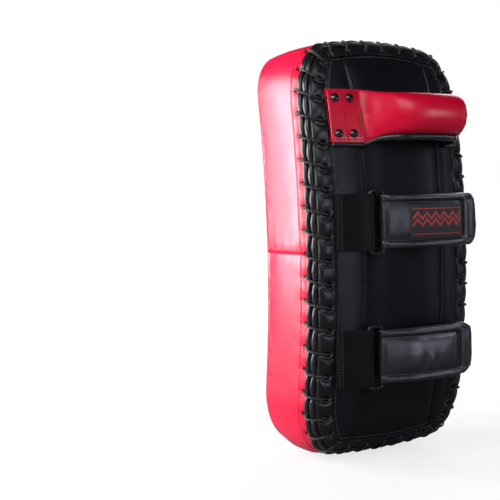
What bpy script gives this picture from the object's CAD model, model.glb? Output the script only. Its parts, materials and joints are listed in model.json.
"""Looks of the laced thai pad: soft pieces, stitching, cord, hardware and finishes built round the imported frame."""

import json
import math
import random

import bmesh
import bpy
import numpy as np
from mathutils import Matrix, Vector

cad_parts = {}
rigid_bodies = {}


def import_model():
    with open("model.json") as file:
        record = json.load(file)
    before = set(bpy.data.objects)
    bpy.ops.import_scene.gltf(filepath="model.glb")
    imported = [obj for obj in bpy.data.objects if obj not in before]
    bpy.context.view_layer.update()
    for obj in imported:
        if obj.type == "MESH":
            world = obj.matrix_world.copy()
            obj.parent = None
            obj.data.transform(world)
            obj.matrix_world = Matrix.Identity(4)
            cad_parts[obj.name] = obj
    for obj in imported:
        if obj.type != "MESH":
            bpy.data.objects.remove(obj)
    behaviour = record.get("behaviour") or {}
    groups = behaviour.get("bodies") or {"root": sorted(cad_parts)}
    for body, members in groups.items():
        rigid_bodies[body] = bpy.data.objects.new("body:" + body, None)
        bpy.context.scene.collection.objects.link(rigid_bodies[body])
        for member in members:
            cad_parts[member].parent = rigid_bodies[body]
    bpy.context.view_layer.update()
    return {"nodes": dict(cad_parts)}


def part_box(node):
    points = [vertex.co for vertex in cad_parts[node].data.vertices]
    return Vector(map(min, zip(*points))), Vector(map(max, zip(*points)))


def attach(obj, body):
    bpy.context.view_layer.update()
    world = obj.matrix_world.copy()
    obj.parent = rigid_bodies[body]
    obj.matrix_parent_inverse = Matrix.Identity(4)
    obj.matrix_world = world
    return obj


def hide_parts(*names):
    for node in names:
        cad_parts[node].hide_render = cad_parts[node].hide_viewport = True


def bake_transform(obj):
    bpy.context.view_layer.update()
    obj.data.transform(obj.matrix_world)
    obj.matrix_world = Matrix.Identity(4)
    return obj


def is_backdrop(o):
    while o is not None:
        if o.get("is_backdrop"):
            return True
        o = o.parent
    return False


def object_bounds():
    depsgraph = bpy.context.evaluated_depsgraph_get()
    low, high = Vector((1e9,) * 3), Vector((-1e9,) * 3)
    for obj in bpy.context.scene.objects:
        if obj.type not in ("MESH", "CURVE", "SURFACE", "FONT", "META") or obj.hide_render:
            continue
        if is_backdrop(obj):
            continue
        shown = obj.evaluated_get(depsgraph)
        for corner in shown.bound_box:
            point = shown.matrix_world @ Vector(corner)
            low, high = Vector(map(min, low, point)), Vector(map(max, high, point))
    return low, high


SEED = 7
random.seed(SEED)
RNG = np.random.default_rng(SEED)

for old in list(bpy.data.objects):
    bpy.data.objects.remove(old, do_unlink=True)

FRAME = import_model()
NODES = FRAME["nodes"]
SCENE = bpy.context.scene

# ---------------------------------------------------------------- sizes shared with the frame, metres
HALF_H, MID_Z, SAGITTA, HALF_DEPTH = 0.200, 0.200, 0.0230, 0.0390
W_FRONT, W_BACK, H_FRONT, H_BACK = 0.0880, 0.0943, 0.1955, 0.2000
RX_FRONT, RZ_FRONT, RX_BACK, RZ_BACK = 0.036, 0.053, 0.033, 0.057
CORNER_POWER, END_CROWN, SIDE_CROWN, REST_FLAT = 2.2, 0.0117, 0.0024, 0.0012
STRIKE_EDGE, STRIKE_CROWN, STRIKE_RADIUS, STRIKE_INSET = 0.0105, 0.0035, 0.020, 0.0014
BACK_RISE, BACK_CROWN = 0.0020, 0.0160
BORDER_OUT, BORDER_IN = 0.0070, 0.0222
GUSSET_ROLL, BORDER_ROLL = (-0.0022, 0.0352), (-0.0046, 0.0396)
TURNS = 50
GUSSET_HOLE_Y = 0.0302
HOLE_SLANT = -1.25 / 4          # of one lace pitch
LIFTED = -0.0050
SEAM_RIGHT, SEAM_LEFT = (0.0420, 0.0055), (-0.0505, -0.0020)
HANDLE_Z, TAB_HALF_H, TAB_HALF_T, TAB_LIFT = 0.3262, 0.0248, 0.0024, 0.0006
STRAPS = {"upper": (0.2280, 1.0), "lower": (0.1015, 0.90)}
BAND_HALF_H, ELASTIC_HALF_H, RING_HALF_H, RING_BAR_R = 0.0252, 0.0265, 0.0297, 0.0017
RING_LEFT, RING_RIGHT = (0.0445, 0.0228), (0.0305, 0.0240)


# ---------------------------------------------------------------- form
def bow(z):
    return SAGITTA * (1.0 - ((z - MID_Z) / HALF_H) ** 2)


def frame_at(t):
    mix = lambda a, b: a + (b - a) * t
    return mix(W_FRONT, W_BACK), mix(H_FRONT, H_BACK), mix(RX_FRONT, RX_BACK), mix(RZ_FRONT, RZ_BACK)


def top_share(t):
    """How far the top corners are drawn in: tighter on the strike side than on the strap side."""
    return 1.0 - 0.30 * (1.0 - min(max(t, 0.0), 1.0))


def half_width(t, inset, zc):
    w, h, rx, rz = frame_at(t)
    w, h = w - inset, h - END_CROWN - inset
    rx, rz = max(rx - 1.05 * inset, 0.008), max(rz - 0.75 * inset, 0.012)
    k = np.where(np.asarray(zc) > 0, top_share(t), 1.0)
    rx, rz = np.maximum(rx * k, 0.008), np.maximum(rz * k, 0.012)
    over = np.maximum(np.abs(zc) - (h - rz), 0.0) / rz
    return w - rx + rx * np.maximum(1.0 - np.minimum(over, 1.0) ** CORNER_POWER, 0.0) ** (1.0 / CORNER_POWER)


def crowned(t, inset, x, zc, lower=0.0):
    w, h, _, _ = frame_at(t)
    w, h = w - inset, h - END_CROWN - inset
    lift = END_CROWN + np.where(zc < 0, lower, 0.0)
    zn = zc + np.sign(zc) * lift * (1.0 - (x / w) ** 2) * (np.abs(zc) / h) ** 4
    xn = x + np.sign(x) * SIDE_CROWN * (1.0 - (zc / h) ** 2) * (np.abs(x) / w) ** 4
    return xn, MID_Z + zn


def outline(t, inset, count, lower=0.0):
    """The pad's outline, counted from the middle of its +X side over the top, count points."""
    w, h, rx, rz = frame_at(t)
    w, h = w - inset, h - END_CROWN - inset
    rx, rz = max(rx - 1.05 * inset, 0.008), max(rz - 0.75 * inset, 0.012)
    s = np.linspace(0, 1, 120, endpoint=False)
    a = np.linspace(0, math.pi / 2, 160)
    out = []
    for k, sign in ((top_share(t), 1.0), (1.0, -1.0)):
        qx, qz = max(rx * k, 0.008), max(rz * k, 0.012)
        quarter = np.vstack([
            np.column_stack([np.full(120, w), s * (h - qz)]),
            np.column_stack([w - qx + qx * np.cos(a).clip(0) ** (2 / CORNER_POWER), h - qz + qz * np.sin(a) ** (2 / CORNER_POWER)]),
            np.column_stack([np.linspace(1, 0, 80)[1:] * (w - qx), np.full(79, h)])])
        half = np.vstack([quarter, quarter[-2::-1] * [-1, 1]]) * [sign, sign]
        x, z = crowned(t, inset, half[:, 0], half[:, 1], lower)
        pts = np.column_stack([x, z])
        d = np.concatenate([[0], np.cumsum(np.linalg.norm(np.diff(pts, axis=0), axis=1))])
        want = np.linspace(0, d[-1], count // 2, endpoint=False)
        out.append(np.column_stack([np.interp(want, d, pts[:, c]) for c in (0, 1)]))
    return np.vstack(out)


def loop_normals(loop):
    d = np.roll(loop, -1, 0) - np.roll(loop, 1, 0)
    d /= np.linalg.norm(d, axis=1)[:, None]
    return np.column_stack([d[:, 1], -d[:, 0]])


def edge_distance(t, x, z):
    w, h, _, _ = frame_at(t)
    zc = z - MID_Z
    dx = half_width(t, 0.0, np.minimum(np.abs(zc), h - END_CROWN - 1e-6)) + SIDE_CROWN * (1 - (zc / h) ** 2) - np.abs(x)
    dz = h - END_CROWN * (x / w) ** 2 - np.abs(zc)
    dx, dz = np.maximum(dx, 1e-6), np.maximum(dz, 1e-6)
    return (dx ** -5.0 + dz ** -5.0) ** -0.2


def back_off(x, z):
    rx = np.minimum(np.abs(x) / 0.097, 1.0)
    rz = np.minimum(np.abs(z - MID_Z) / (HALF_H - END_CROWN * (x / W_BACK) ** 2), 1.0)
    return BACK_RISE + BACK_CROWN * (1 - rx ** 2.5) * (1 - rz ** 7)


def back_y(x, z, below=0.0):
    return bow(z) + HALF_DEPTH + back_off(x, z) - below


def back_normal(x, z):
    e = 1e-4
    n = np.stack([-(back_y(x + e, z) - back_y(x - e, z)) / (2 * e), np.ones_like(np.asarray(x, float)),
                  -(back_y(x, z + e) - back_y(x, z - e)) / (2 * e)], -1)
    return n / np.linalg.norm(n, axis=-1, keepdims=True)


def smoothstep(a, b, v):
    t = np.clip((v - a) / (b - a), 0.0, 1.0)
    return t * t * (3 - 2 * t)


def ripple(p, scale, seed=0):
    """Smooth value noise, about -1 to 1, of points (..., 2) at a feature size in metres."""
    q = np.asarray(p, float) / scale + 31.7 * (seed + 1)
    i = np.floor(q).astype(int)
    f = q - i
    f = f * f * (3 - 2 * f)

    def h(a, b):
        v = np.sin(a * 127.1 + b * 311.7 + seed * 74.7) * 43758.5453
        return 2 * (v - np.floor(v)) - 1

    a, b = i[..., 0], i[..., 1]
    return ((h(a, b) * (1 - f[..., 0]) + h(a + 1, b) * f[..., 0]) * (1 - f[..., 1])
            + (h(a, b + 1) * (1 - f[..., 0]) + h(a + 1, b + 1) * f[..., 0]) * f[..., 1])


def curve_through(points, count):
    p = np.array(points, float)
    ext = np.vstack([2 * p[0] - p[1], p, 2 * p[-1] - p[-2]])
    out = []
    for i in range(1, len(ext) - 2):
        a, b, c, d = ext[i - 1], ext[i], ext[i + 1], ext[i + 2]
        for t in np.linspace(0, 1, 24, endpoint=False):
            out.append(0.5 * ((2 * b) + (c - a) * t + (2 * a - 5 * b + 4 * c - d) * t ** 2 + (3 * b - a - 3 * c + d) * t ** 3))
    out.append(p[-1])
    out = np.array(out)
    s = np.concatenate([[0], np.cumsum(np.linalg.norm(np.diff(out[:, :2], axis=0), axis=1))])
    want = np.linspace(0, s[-1], count)
    return np.column_stack([np.interp(want, s, out[:, k]) for k in range(out.shape[1])])


def resample(path, count):
    p = np.asarray(path, float)
    s = np.concatenate([[0], np.cumsum(np.linalg.norm(np.diff(p, axis=0), axis=1))])
    want = np.linspace(0, s[-1], count)
    return np.column_stack([np.interp(want, s, p[:, k]) for k in range(p.shape[1])])


def sideways(path):
    t = np.gradient(np.asarray(path, float), axis=0)
    t /= np.linalg.norm(t, axis=1)[:, None]
    return np.column_stack([-t[:, 1], t[:, 0]])


def path_length(path):
    return np.concatenate([[0], np.cumsum(np.linalg.norm(np.diff(np.asarray(path, float), axis=0), axis=1))])


# ---------------------------------------------------------------- meshes
def mesh_object(name, verts, faces, mat=None, uv=None, smooth=True):
    mesh = bpy.data.meshes.new(name)
    mesh.from_pydata(np.asarray(verts, float).tolist(), [], [list(map(int, f)) for f in faces])
    mesh.update()
    if smooth:
        mesh.shade_smooth()
    if uv is not None:
        layer = mesh.uv_layers.new(name="flat")
        vi = np.empty(len(mesh.loops), np.int32)
        mesh.loops.foreach_get("vertex_index", vi)
        layer.data.foreach_set("uv", np.asarray(uv, np.float32)[vi].ravel())
    obj = bpy.data.objects.new(name, mesh)
    SCENE.collection.objects.link(obj)
    if mat:
        mesh.materials.append(mat)
    return obj


def grid_faces(nu, nv, wrap_u=False, wrap_v=False, offset=0, flip=False):
    iu = np.arange(nu if wrap_u else nu - 1)
    iv = np.arange(nv if wrap_v else nv - 1)
    a, b = np.meshgrid(iu, iv, indexing="ij")
    a1, b1 = (a + 1) % nu, (b + 1) % nv
    q = np.stack([a * nv + b, a1 * nv + b, a1 * nv + b1, a * nv + b1], -1).reshape(-1, 4) + offset
    return q[:, ::-1] if flip else q


def grid_object(name, pts, mat=None, wrap_u=False, wrap_v=False, flip=False, uv=None, cap_u=False):
    nu, nv = pts.shape[:2]
    faces = [tuple(f) for f in grid_faces(nu, nv, wrap_u, wrap_v, 0, flip)]
    if cap_u:
        first, last = list(range(nv)), [(nu - 1) * nv + i for i in range(nv)]
        faces += [tuple(first if flip else first[::-1]), tuple(last[::-1] if flip else last)]
    return mesh_object(name, pts.reshape(-1, 3), faces, mat, None if uv is None else uv.reshape(-1, 2))


def shell(obj, thickness, offset=-1.0):
    """Give an open skin its own thickness, so that it is a real sheet."""
    m = obj.modifiers.new("sheet", "SOLIDIFY")
    m.thickness = thickness
    m.offset = offset
    m.use_even_offset = False
    return obj


def point_outward(obj, centre):
    """Turn the faces of a piece so that they look away from centre, a point or a function of the face's centre."""
    total = 0.0
    for p in obj.data.polygons:
        c = centre(p.center) if callable(centre) else centre
        total += p.normal.dot(p.center - Vector(c)) * p.area
    if total < 0:
        obj.data.flip_normals()
    return obj


def frames_along(path, up, closed=False):
    p = np.asarray(path, float)
    t = (np.roll(p, -1, 0) - np.roll(p, 1, 0)) if closed else np.gradient(p, axis=0)
    t /= np.linalg.norm(t, axis=1)[:, None]
    up = np.asarray(up, float)
    if up.ndim == 1:
        up = np.tile(up, (len(p), 1))
    n = up - (up * t).sum(1)[:, None] * t
    n /= np.linalg.norm(n, axis=1)[:, None]
    return t, n, np.cross(t, n)


def tube_object(name, path, radius, mat, up=(0, 1, 0), sides=20, closed=False, shape=None, uv_scale=1.0):
    """A tube along a path. radius is a number or one per point; shape(i, angles) may scale each ring."""
    p = np.asarray(path, float)
    n = len(p)
    r = np.full(n, radius) if np.isscalar(radius) else np.asarray(radius, float)
    _, nn, bb = frames_along(p, up, closed)
    ang = np.linspace(0, 2 * math.pi, sides, endpoint=False)
    k = np.ones((n, sides)) if shape is None else shape(np.arange(n), ang)
    ring = (np.cos(ang)[None, :, None] * nn[:, None] + np.sin(ang)[None, :, None] * bb[:, None]) * (r[:, None] * k)[:, :, None]
    pts = p[:, None] + ring
    if closed:
        s = np.linspace(0, 1, n, endpoint=False)
    else:
        s = path_length(p)
    uv = np.stack([np.repeat(s[:, None], sides, 1) * uv_scale, np.repeat((ang / (2 * math.pi))[None], n, 0)], -1)
    obj = grid_object(name, pts, mat, wrap_u=closed, wrap_v=True, flip=False, uv=uv, cap_u=not closed)
    return obj


def outward_fix(obj):
    bm = bmesh.new()
    bm.from_mesh(obj.data)
    bmesh.ops.recalc_face_normals(bm, faces=bm.faces[:])
    bm.to_mesh(obj.data)
    bm.free()
    return obj


def stitches(name, points, normals, mat, pitch=0.0028, length=0.0019, radius=0.00032, lift=0.0001, closed=False):
    """A row of short thread capsules lying along a path on a surface."""
    p = np.asarray(points, float)
    nn = np.asarray(normals, float)
    if nn.ndim == 1:
        nn = np.tile(nn, (len(p), 1))
    if closed:
        p, nn = np.vstack([p, p[:1]]), np.vstack([nn, nn[:1]])
    s = path_length(p)
    count = max(int(s[-1] / pitch), 1)
    sides, rings = 6, 5
    ang = np.linspace(0, 2 * math.pi, sides, endpoint=False)
    verts, faces = [], []
    for i in range(count):
        m = (i + 0.5) * s[-1] / count
        ts = np.linspace(-0.5, 0.5, rings) * length + m
        c = np.column_stack([np.interp(ts, s, p[:, k]) for k in range(3)])
        n = np.array([np.interp(m, s, nn[:, k]) for k in range(3)])
        n /= np.linalg.norm(n)
        d = c[-1] - c[0]
        if np.linalg.norm(d) < 1e-7:
            continue
        d /= np.linalg.norm(d)
        b = np.cross(d, n)
        arch = np.array([-0.9, 0.35, 0.75, 0.35, -0.9]) * radius
        rr = np.array([0.55, 1.0, 1.08, 1.0, 0.55]) * radius * (1 + 0.12 * RNG.standard_normal())
        base = len(verts)
        for k in range(rings):
            for a in ang:
                verts.append(c[k] + n * (arch[k] + lift + rr[k] * math.cos(a)) + b * rr[k] * math.sin(a))
        for k in range(rings - 1):
            for j in range(sides):
                j1 = (j + 1) % sides
                faces.append((base + k * sides + j, base + k * sides + j1, base + (k + 1) * sides + j1, base + (k + 1) * sides + j))
        faces.append(tuple(base + j for j in range(sides))[::-1])
        faces.append(tuple(base + (rings - 1) * sides + j for j in range(sides)))
    return outward_fix(mesh_object(name, verts, faces, mat))


def inflate(obj, pinned, pressure=4.0, frames=20, cap=0.002, stiffness=12.0, shrink=0.0, quality=5):
    """Blow a skin up a little as cloth, held at its pinned vertices, and keep the result, moved at most cap."""
    me = obj.data
    rest = np.array([v.co for v in me.vertices], float)
    group = obj.vertex_groups.new(name="pin")
    for i, w in enumerate(pinned):
        if w > 0.001:
            group.add([i], float(min(w, 1.0)), "REPLACE")
    m = obj.modifiers.new("cloth", "CLOTH")
    s = m.settings
    s.quality = quality
    s.mass = 0.3
    s.tension_stiffness = s.compression_stiffness = s.shear_stiffness = stiffness
    s.bending_stiffness = 0.4
    s.use_pressure = True
    s.uniform_pressure_force = pressure
    s.shrink_min = shrink
    s.vertex_group_mass = "pin"
    s.effector_weights.gravity = 0.0
    m.collision_settings.use_collision = False
    m.collision_settings.use_self_collision = False
    m.point_cache.frame_start, m.point_cache.frame_end = 1, frames
    for f in range(1, frames + 1):
        SCENE.frame_set(f)
    dg = bpy.context.evaluated_depsgraph_get()
    ev = obj.evaluated_get(dg)
    got = np.array([v.co for v in ev.data.vertices], float)
    obj.modifiers.remove(m)
    SCENE.frame_set(1)
    if got.shape == rest.shape and np.isfinite(got).all():
        move = got - rest
        size = np.linalg.norm(move, axis=1)
        k = np.where(size > 1e-9, cap * np.tanh(size / cap) / np.maximum(size, 1e-9), 0.0)
        new = rest + move * k[:, None]
        me.vertices.foreach_set("co", new.astype(np.float32).ravel())
        me.update()
    return obj


def subdivide(obj, levels=1):
    m = obj.modifiers.new("fine", "SUBSURF")
    m.levels = m.render_levels = levels
    return obj


# ---------------------------------------------------------------- finishes
class Nodes:
    """Short hand for building a material's node tree."""

    def __init__(self, name):
        self.mat = bpy.data.materials.new(name)
        self.mat.use_nodes = True
        self.tree = self.mat.node_tree
        self.tree.nodes.clear()
        self.out = self.add("ShaderNodeOutputMaterial")
        self.bsdf = self.add("ShaderNodeBsdfPrincipled")
        self.link(self.bsdf, "BSDF", self.out, "Surface")
        self.coord = self.add("ShaderNodeTexCoord")

    def add(self, kind, **values):
        n = self.tree.nodes.new(kind)
        for k, v in values.items():
            if hasattr(n, k):
                setattr(n, k, v)
            else:
                n.inputs[k.replace("_", " ")].default_value = v
        return n

    def link(self, a, out, b, into):
        self.tree.links.new(a.outputs[out], b.inputs[into])
        return b

    def value(self, v):
        n = self.add("ShaderNodeValue")
        n.outputs[0].default_value = v
        return n, 0

    def math(self, op, a, b=None, clamp=False):
        n = self.add("ShaderNodeMath", operation=op)
        n.use_clamp = clamp
        for i, s in enumerate((a, b)):
            if s is None:
                continue
            if isinstance(s, tuple):
                self.tree.links.new(s[0].outputs[s[1]], n.inputs[i])
            else:
                n.inputs[i].default_value = s
        return n, 0

    def noise(self, scale, detail=3.0, rough=0.55, stretch=None, distortion=0.0, source="Object"):
        n = self.add("ShaderNodeTexNoise")
        n.inputs["Scale"].default_value = scale
        n.inputs["Detail"].default_value = detail
        n.inputs["Roughness"].default_value = rough
        n.inputs["Distortion"].default_value = distortion
        if stretch:
            m = self.add("ShaderNodeMapping")
            m.inputs["Scale"].default_value = stretch
            self.link(self.coord, source, m, "Vector")
            self.link(m, "Vector", n, "Vector")
        else:
            self.link(self.coord, source, n, "Vector")
        return n, "Fac"

    def voronoi(self, scale, feature="F1", rand=1.0, stretch=None, source="Object"):
        n = self.add("ShaderNodeTexVoronoi", feature=feature)
        n.inputs["Scale"].default_value = scale
        n.inputs["Randomness"].default_value = rand
        if stretch:
            m = self.add("ShaderNodeMapping")
            m.inputs["Scale"].default_value = stretch
            self.link(self.coord, source, m, "Vector")
            self.link(m, "Vector", n, "Vector")
        else:
            self.link(self.coord, source, n, "Vector")
        return n, "Distance"

    def ramp(self, src, stops):
        n = self.add("ShaderNodeValToRGB")
        e = n.color_ramp.elements
        while len(e) < len(stops):
            e.new(0.5)
        for k, (pos, col) in enumerate(stops):
            e[k].position = pos
            e[k].color = (col, col, col, 1.0) if isinstance(col, (int, float)) else (*col, 1.0)
        self.tree.links.new(src[0].outputs[src[1]], n.inputs["Fac"])
        return n, "Color"

    def mix(self, fac, a, b, blend="MIX"):
        n = self.add("ShaderNodeMix", data_type="RGBA", blend_type=blend)
        for sock, v in ((n.inputs[0], fac), (n.inputs[6], a), (n.inputs[7], b)):
            if isinstance(v, tuple) and len(v) == 2 and not isinstance(v[0], (int, float)):
                self.tree.links.new(v[0].outputs[v[1]], sock)
            elif isinstance(v, (int, float)):
                sock.default_value = v if sock is n.inputs[0] else (v, v, v, 1.0)
            else:
                sock.default_value = (*v, 1.0)
        return n, 2

    def bump(self, height, strength, distance, normal=None):
        n = self.add("ShaderNodeBump")
        n.inputs["Strength"].default_value = strength
        n.inputs["Distance"].default_value = distance
        self.tree.links.new(height[0].outputs[height[1]], n.inputs["Height"])
        if normal:
            self.tree.links.new(normal[0].outputs[normal[1]], n.inputs["Normal"])
        return n, "Normal"

    def feed(self, name, src):
        self.tree.links.new(src[0].outputs[src[1]], self.bsdf.inputs[name])

    def set(self, name, v):
        self.bsdf.inputs[name].default_value = v


def pu_leather(name, colour, light, rough, spec=0.5, coat=0.0, grain=1150.0, grain_depth=0.00007, crease=0.00022,
               wear=(0.2, 0.2, 0.2), wear_amount=0.25, dust=0.03):
    """Coated PU: pebbled grain, fine creases, slow undulation, patchy sheen, and rubbed high spots."""
    g = Nodes(name)
    slow = g.noise(14.0, 3.0, 0.6)
    patch = g.noise(55.0, 4.0, 0.6)
    tone = g.mix(g.ramp(slow, [(0.32, 0.0), (0.72, 1.0)]), colour, light)
    geo = g.add("ShaderNodeNewGeometry")
    ridge = g.ramp((geo, "Pointiness"), [(0.505, 0.0), (0.56, 1.0)])
    pit = g.ramp((geo, "Pointiness"), [(0.42, 1.0), (0.495, 0.0)])
    rub = g.math("MULTIPLY", ridge, g.ramp(patch, [(0.40, 0.0), (0.68, wear_amount)]))
    tone = g.mix(rub, tone, wear)
    tone = g.mix(g.math("MULTIPLY", pit, 0.55), tone, tuple(c * 0.35 for c in colour))
    speck = g.ramp(g.noise(420.0, 2.0, 0.7), [(0.62, 0.0), (0.78, dust)])
    tone = g.mix(speck, tone, tuple(min(c * 2.0 + 0.05, 1.0) for c in light))
    mark = g.add("ShaderNodeAttribute")
    mark.attribute_name = "shade"
    tone = g.mix((mark, "Fac"), tone, tuple(c * 0.06 for c in colour))
    g.feed("Base Color", tone)
    r = g.ramp(patch, [(0.25, rough - 0.05), (0.75, rough + 0.07)])
    r = g.math("ADD", r, g.math("MULTIPLY", rub, -0.10))
    g.feed("Roughness", r)
    g.set("Specular IOR Level", spec)
    if coat:
        g.set("Coat Weight", coat)
        g.set("Coat Roughness", 0.22)
    pebble = g.voronoi(grain, "SMOOTH_F1")
    fine = g.noise(grain * 2.3, 2.0, 0.5)
    tex = g.math("ADD", pebble, g.math("MULTIPLY", fine, 0.4))
    lines = g.voronoi(170.0, "DISTANCE_TO_EDGE", 1.0, (1.0, 1.0, 0.55))
    line_mask = g.ramp(lines, [(0.0, 0.0), (0.05, 1.0)])
    where = g.ramp(g.noise(24.0, 2.0, 0.5), [(0.48, 0.0), (0.66, 1.0)])
    crack = g.math("MULTIPLY", g.math("SUBTRACT", 1.0, line_mask), where)
    n1 = g.bump(g.noise(32.0, 3.0, 0.5), 0.55, crease)
    n2 = g.bump(g.math("MULTIPLY", crack, -1.0), 0.35, 0.00010, n1)
    n3 = g.bump(tex, 0.55, grain_depth, n2)
    g.feed("Normal", n3)
    return g.mat


def cord_finish(name, colour):
    """Round braided cord: slanting picks from the tube's own coordinates."""
    g = Nodes(name)
    sep = g.add("ShaderNodeSeparateXYZ")
    g.link(g.coord, "UV", sep, "Vector")
    turn = g.math("ADD", g.math("MULTIPLY", (sep, "X"), 1.0), g.math("MULTIPLY", (sep, "Y"), 4.0))
    back = g.math("SUBTRACT", g.math("MULTIPLY", (sep, "X"), 1.0), g.math("MULTIPLY", (sep, "Y"), 4.0))
    a = g.math("ABSOLUTE", g.math("SINE", g.math("MULTIPLY", turn, math.pi)))
    b = g.math("ABSOLUTE", g.math("SINE", g.math("MULTIPLY", back, math.pi)))
    h = g.math("MAXIMUM", a, b)
    g.feed("Base Color", g.mix(g.ramp(h, [(0.35, 0.0), (1.0, 1.0)]), tuple(c * 0.4 for c in colour), tuple(c * 1.9 + 0.006 for c in colour)))
    g.set("Roughness", 0.48)
    g.set("Specular IOR Level", 0.5)
    g.set("Sheen Weight", 0.25)
    g.feed("Normal", g.bump(g.noise(2600.0, 2.0), 0.3, 0.00006, g.bump(h, 0.7, 0.00028)))
    return g.mat


def webbing_finish(name, colour, light, pitch, ribs=True):
    """Ribbed elastic: ribs across the path, with fine picks along them. UV is in metres, u along the path and v the height."""
    g = Nodes(name)
    sep = g.add("ShaderNodeSeparateXYZ")
    g.link(g.coord, "UV", sep, "Vector")
    rib = g.math("SINE", g.math("MULTIPLY", (sep, "X"), 2 * math.pi / pitch))
    rib = g.math("ADD", g.math("MULTIPLY", rib, 0.5), 0.5)
    pick = g.math("ABSOLUTE", g.math("SINE", g.math("MULTIPLY", g.math("ADD", (sep, "Y"), g.math("MULTIPLY", (sep, "X"), 0.35)), math.pi / 0.0007)))
    h = g.math("ADD", g.math("MULTIPLY", rib, 0.7), g.math("MULTIPLY", pick, 0.3))
    g.feed("Base Color", g.mix(h, colour, light))
    g.feed("Roughness", g.ramp(g.noise(300.0), [(0.3, 0.62), (0.7, 0.82)]))
    g.set("Sheen Weight", 0.10)
    g.set("Sheen Roughness", 0.4)
    g.set("Specular IOR Level", 0.20)
    g.feed("Normal", g.bump(g.noise(3500.0, 2.0), 0.35, 0.00008, g.bump(h, 0.8, 0.00030)))
    return g.mat


def pile_finish(name, colour, scale, depth, rough=0.95):
    g = Nodes(name)
    v = g.voronoi(scale, "F1")
    n = g.noise(scale * 1.6, 3.0, 0.7)
    h = g.math("ADD", g.math("SUBTRACT", 1.0, v), n)
    g.feed("Base Color", g.mix(g.ramp(n, [(0.3, 0.0), (0.7, 1.0)]), tuple(c * 0.5 for c in colour), tuple(c * 1.7 for c in colour)))
    g.set("Roughness", rough)
    g.set("Sheen Weight", 0.5)
    g.feed("Normal", g.bump(h, 0.9, depth))
    return g.mat


def hard_finish(name, colour, rough, metallic=0.0, scratch=0.00002, spec=0.5, coat=0.0):
    g = Nodes(name)
    n = g.noise(90.0, 4.0, 0.6)
    g.feed("Base Color", g.mix(n, tuple(c * 0.8 for c in colour), tuple(min(c * 1.2 + 0.002, 1) for c in colour)))
    g.feed("Roughness", g.ramp(g.noise(260.0, 3.0, 0.6), [(0.3, max(rough - 0.05, 0.03)), (0.75, rough + 0.08)]))
    g.set("Metallic", metallic)
    g.set("Specular IOR Level", spec)
    if coat:
        g.set("Coat Weight", coat)
        g.set("Coat Roughness", 0.08)
    g.feed("Normal", g.bump(g.noise(700.0, 3.0, 0.6, (1, 1, 0.1)), 0.3, scratch))
    return g.mat


def foam_finish(name, colour, scale=1400.0):
    g = Nodes(name)
    v = g.voronoi(scale, "F1")
    g.feed("Base Color", g.mix(g.ramp(v, [(0.1, 0.0), (0.6, 1.0)]), tuple(c * 0.55 for c in colour), colour))
    g.set("Roughness", 0.95)
    g.feed("Normal", g.bump(v, 0.8, 0.0004))
    return g.mat


def thread_finish(name, colour):
    g = Nodes(name)
    w = g.noise(5200.0, 1.0, 0.5, (1, 1, 1))
    g.feed("Base Color", g.mix(w, tuple(c * 0.7 for c in colour), tuple(min(c * 1.4, 1) for c in colour)))
    g.set("Roughness", 0.55)
    g.set("Sheen Weight", 0.2)
    g.feed("Normal", g.bump(w, 0.5, 0.00006))
    return g.mat


def label_finish(name):
    """Woven label: a plain border and two rows of zigzag in red on black, in picks and ends. UV in metres from the label's middle."""
    g = Nodes(name)
    sep = g.add("ShaderNodeSeparateXYZ")
    g.link(g.coord, "UV", sep, "Vector")
    x, y = (sep, "X"), (sep, "Y")
    saw = g.math("PINGPONG", g.math("ADD", x, 0.5), 0.0047)
    body = []
    for shift in (-0.0052, 0.0008):
        d = g.math("ABSOLUTE", g.math("SUBTRACT", g.math("ADD", y, shift), g.math("MULTIPLY", g.math("SUBTRACT", saw, 0.00235), 1.25)))
        body.append(g.math("LESS_THAN", d, 0.00155))
    zig = g.math("MAXIMUM", body[0], body[1])
    bar = g.math("LESS_THAN", g.math("ABSOLUTE", g.math("SUBTRACT", g.math("ABSOLUTE", y), 0.0118)), 0.00045)
    zone = g.math("LESS_THAN", g.math("ABSOLUTE", x), 0.0265)
    mark = g.math("MULTIPLY", g.math("MAXIMUM", zig, bar), zone)
    pick = g.math("ABSOLUTE", g.math("SINE", g.math("MULTIPLY", y, math.pi / 0.00042)))
    end = g.math("ABSOLUTE", g.math("SINE", g.math("MULTIPLY", x, math.pi / 0.00055)))
    weave = g.math("MULTIPLY", g.math("ADD", pick, end), 0.5)
    fade = g.ramp(g.noise(180.0, 3.0), [(0.3, 0.75), (0.7, 1.0)])
    col = g.mix(g.math("MULTIPLY", mark, fade), (0.010, 0.008, 0.010), (0.42, 0.030, 0.022))
    col = g.mix(g.math("MULTIPLY", g.math("SUBTRACT", 1.0, weave), 0.45), col, (0.002, 0.002, 0.002))
    g.feed("Base Color", col)
    g.set("Roughness", 0.72)
    g.set("Sheen Weight", 0.08)
    h = g.math("ADD", weave, g.math("MULTIPLY", mark, 1.2))
    g.feed("Normal", g.bump(h, 0.7, 0.00016))
    return g.mat


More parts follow.
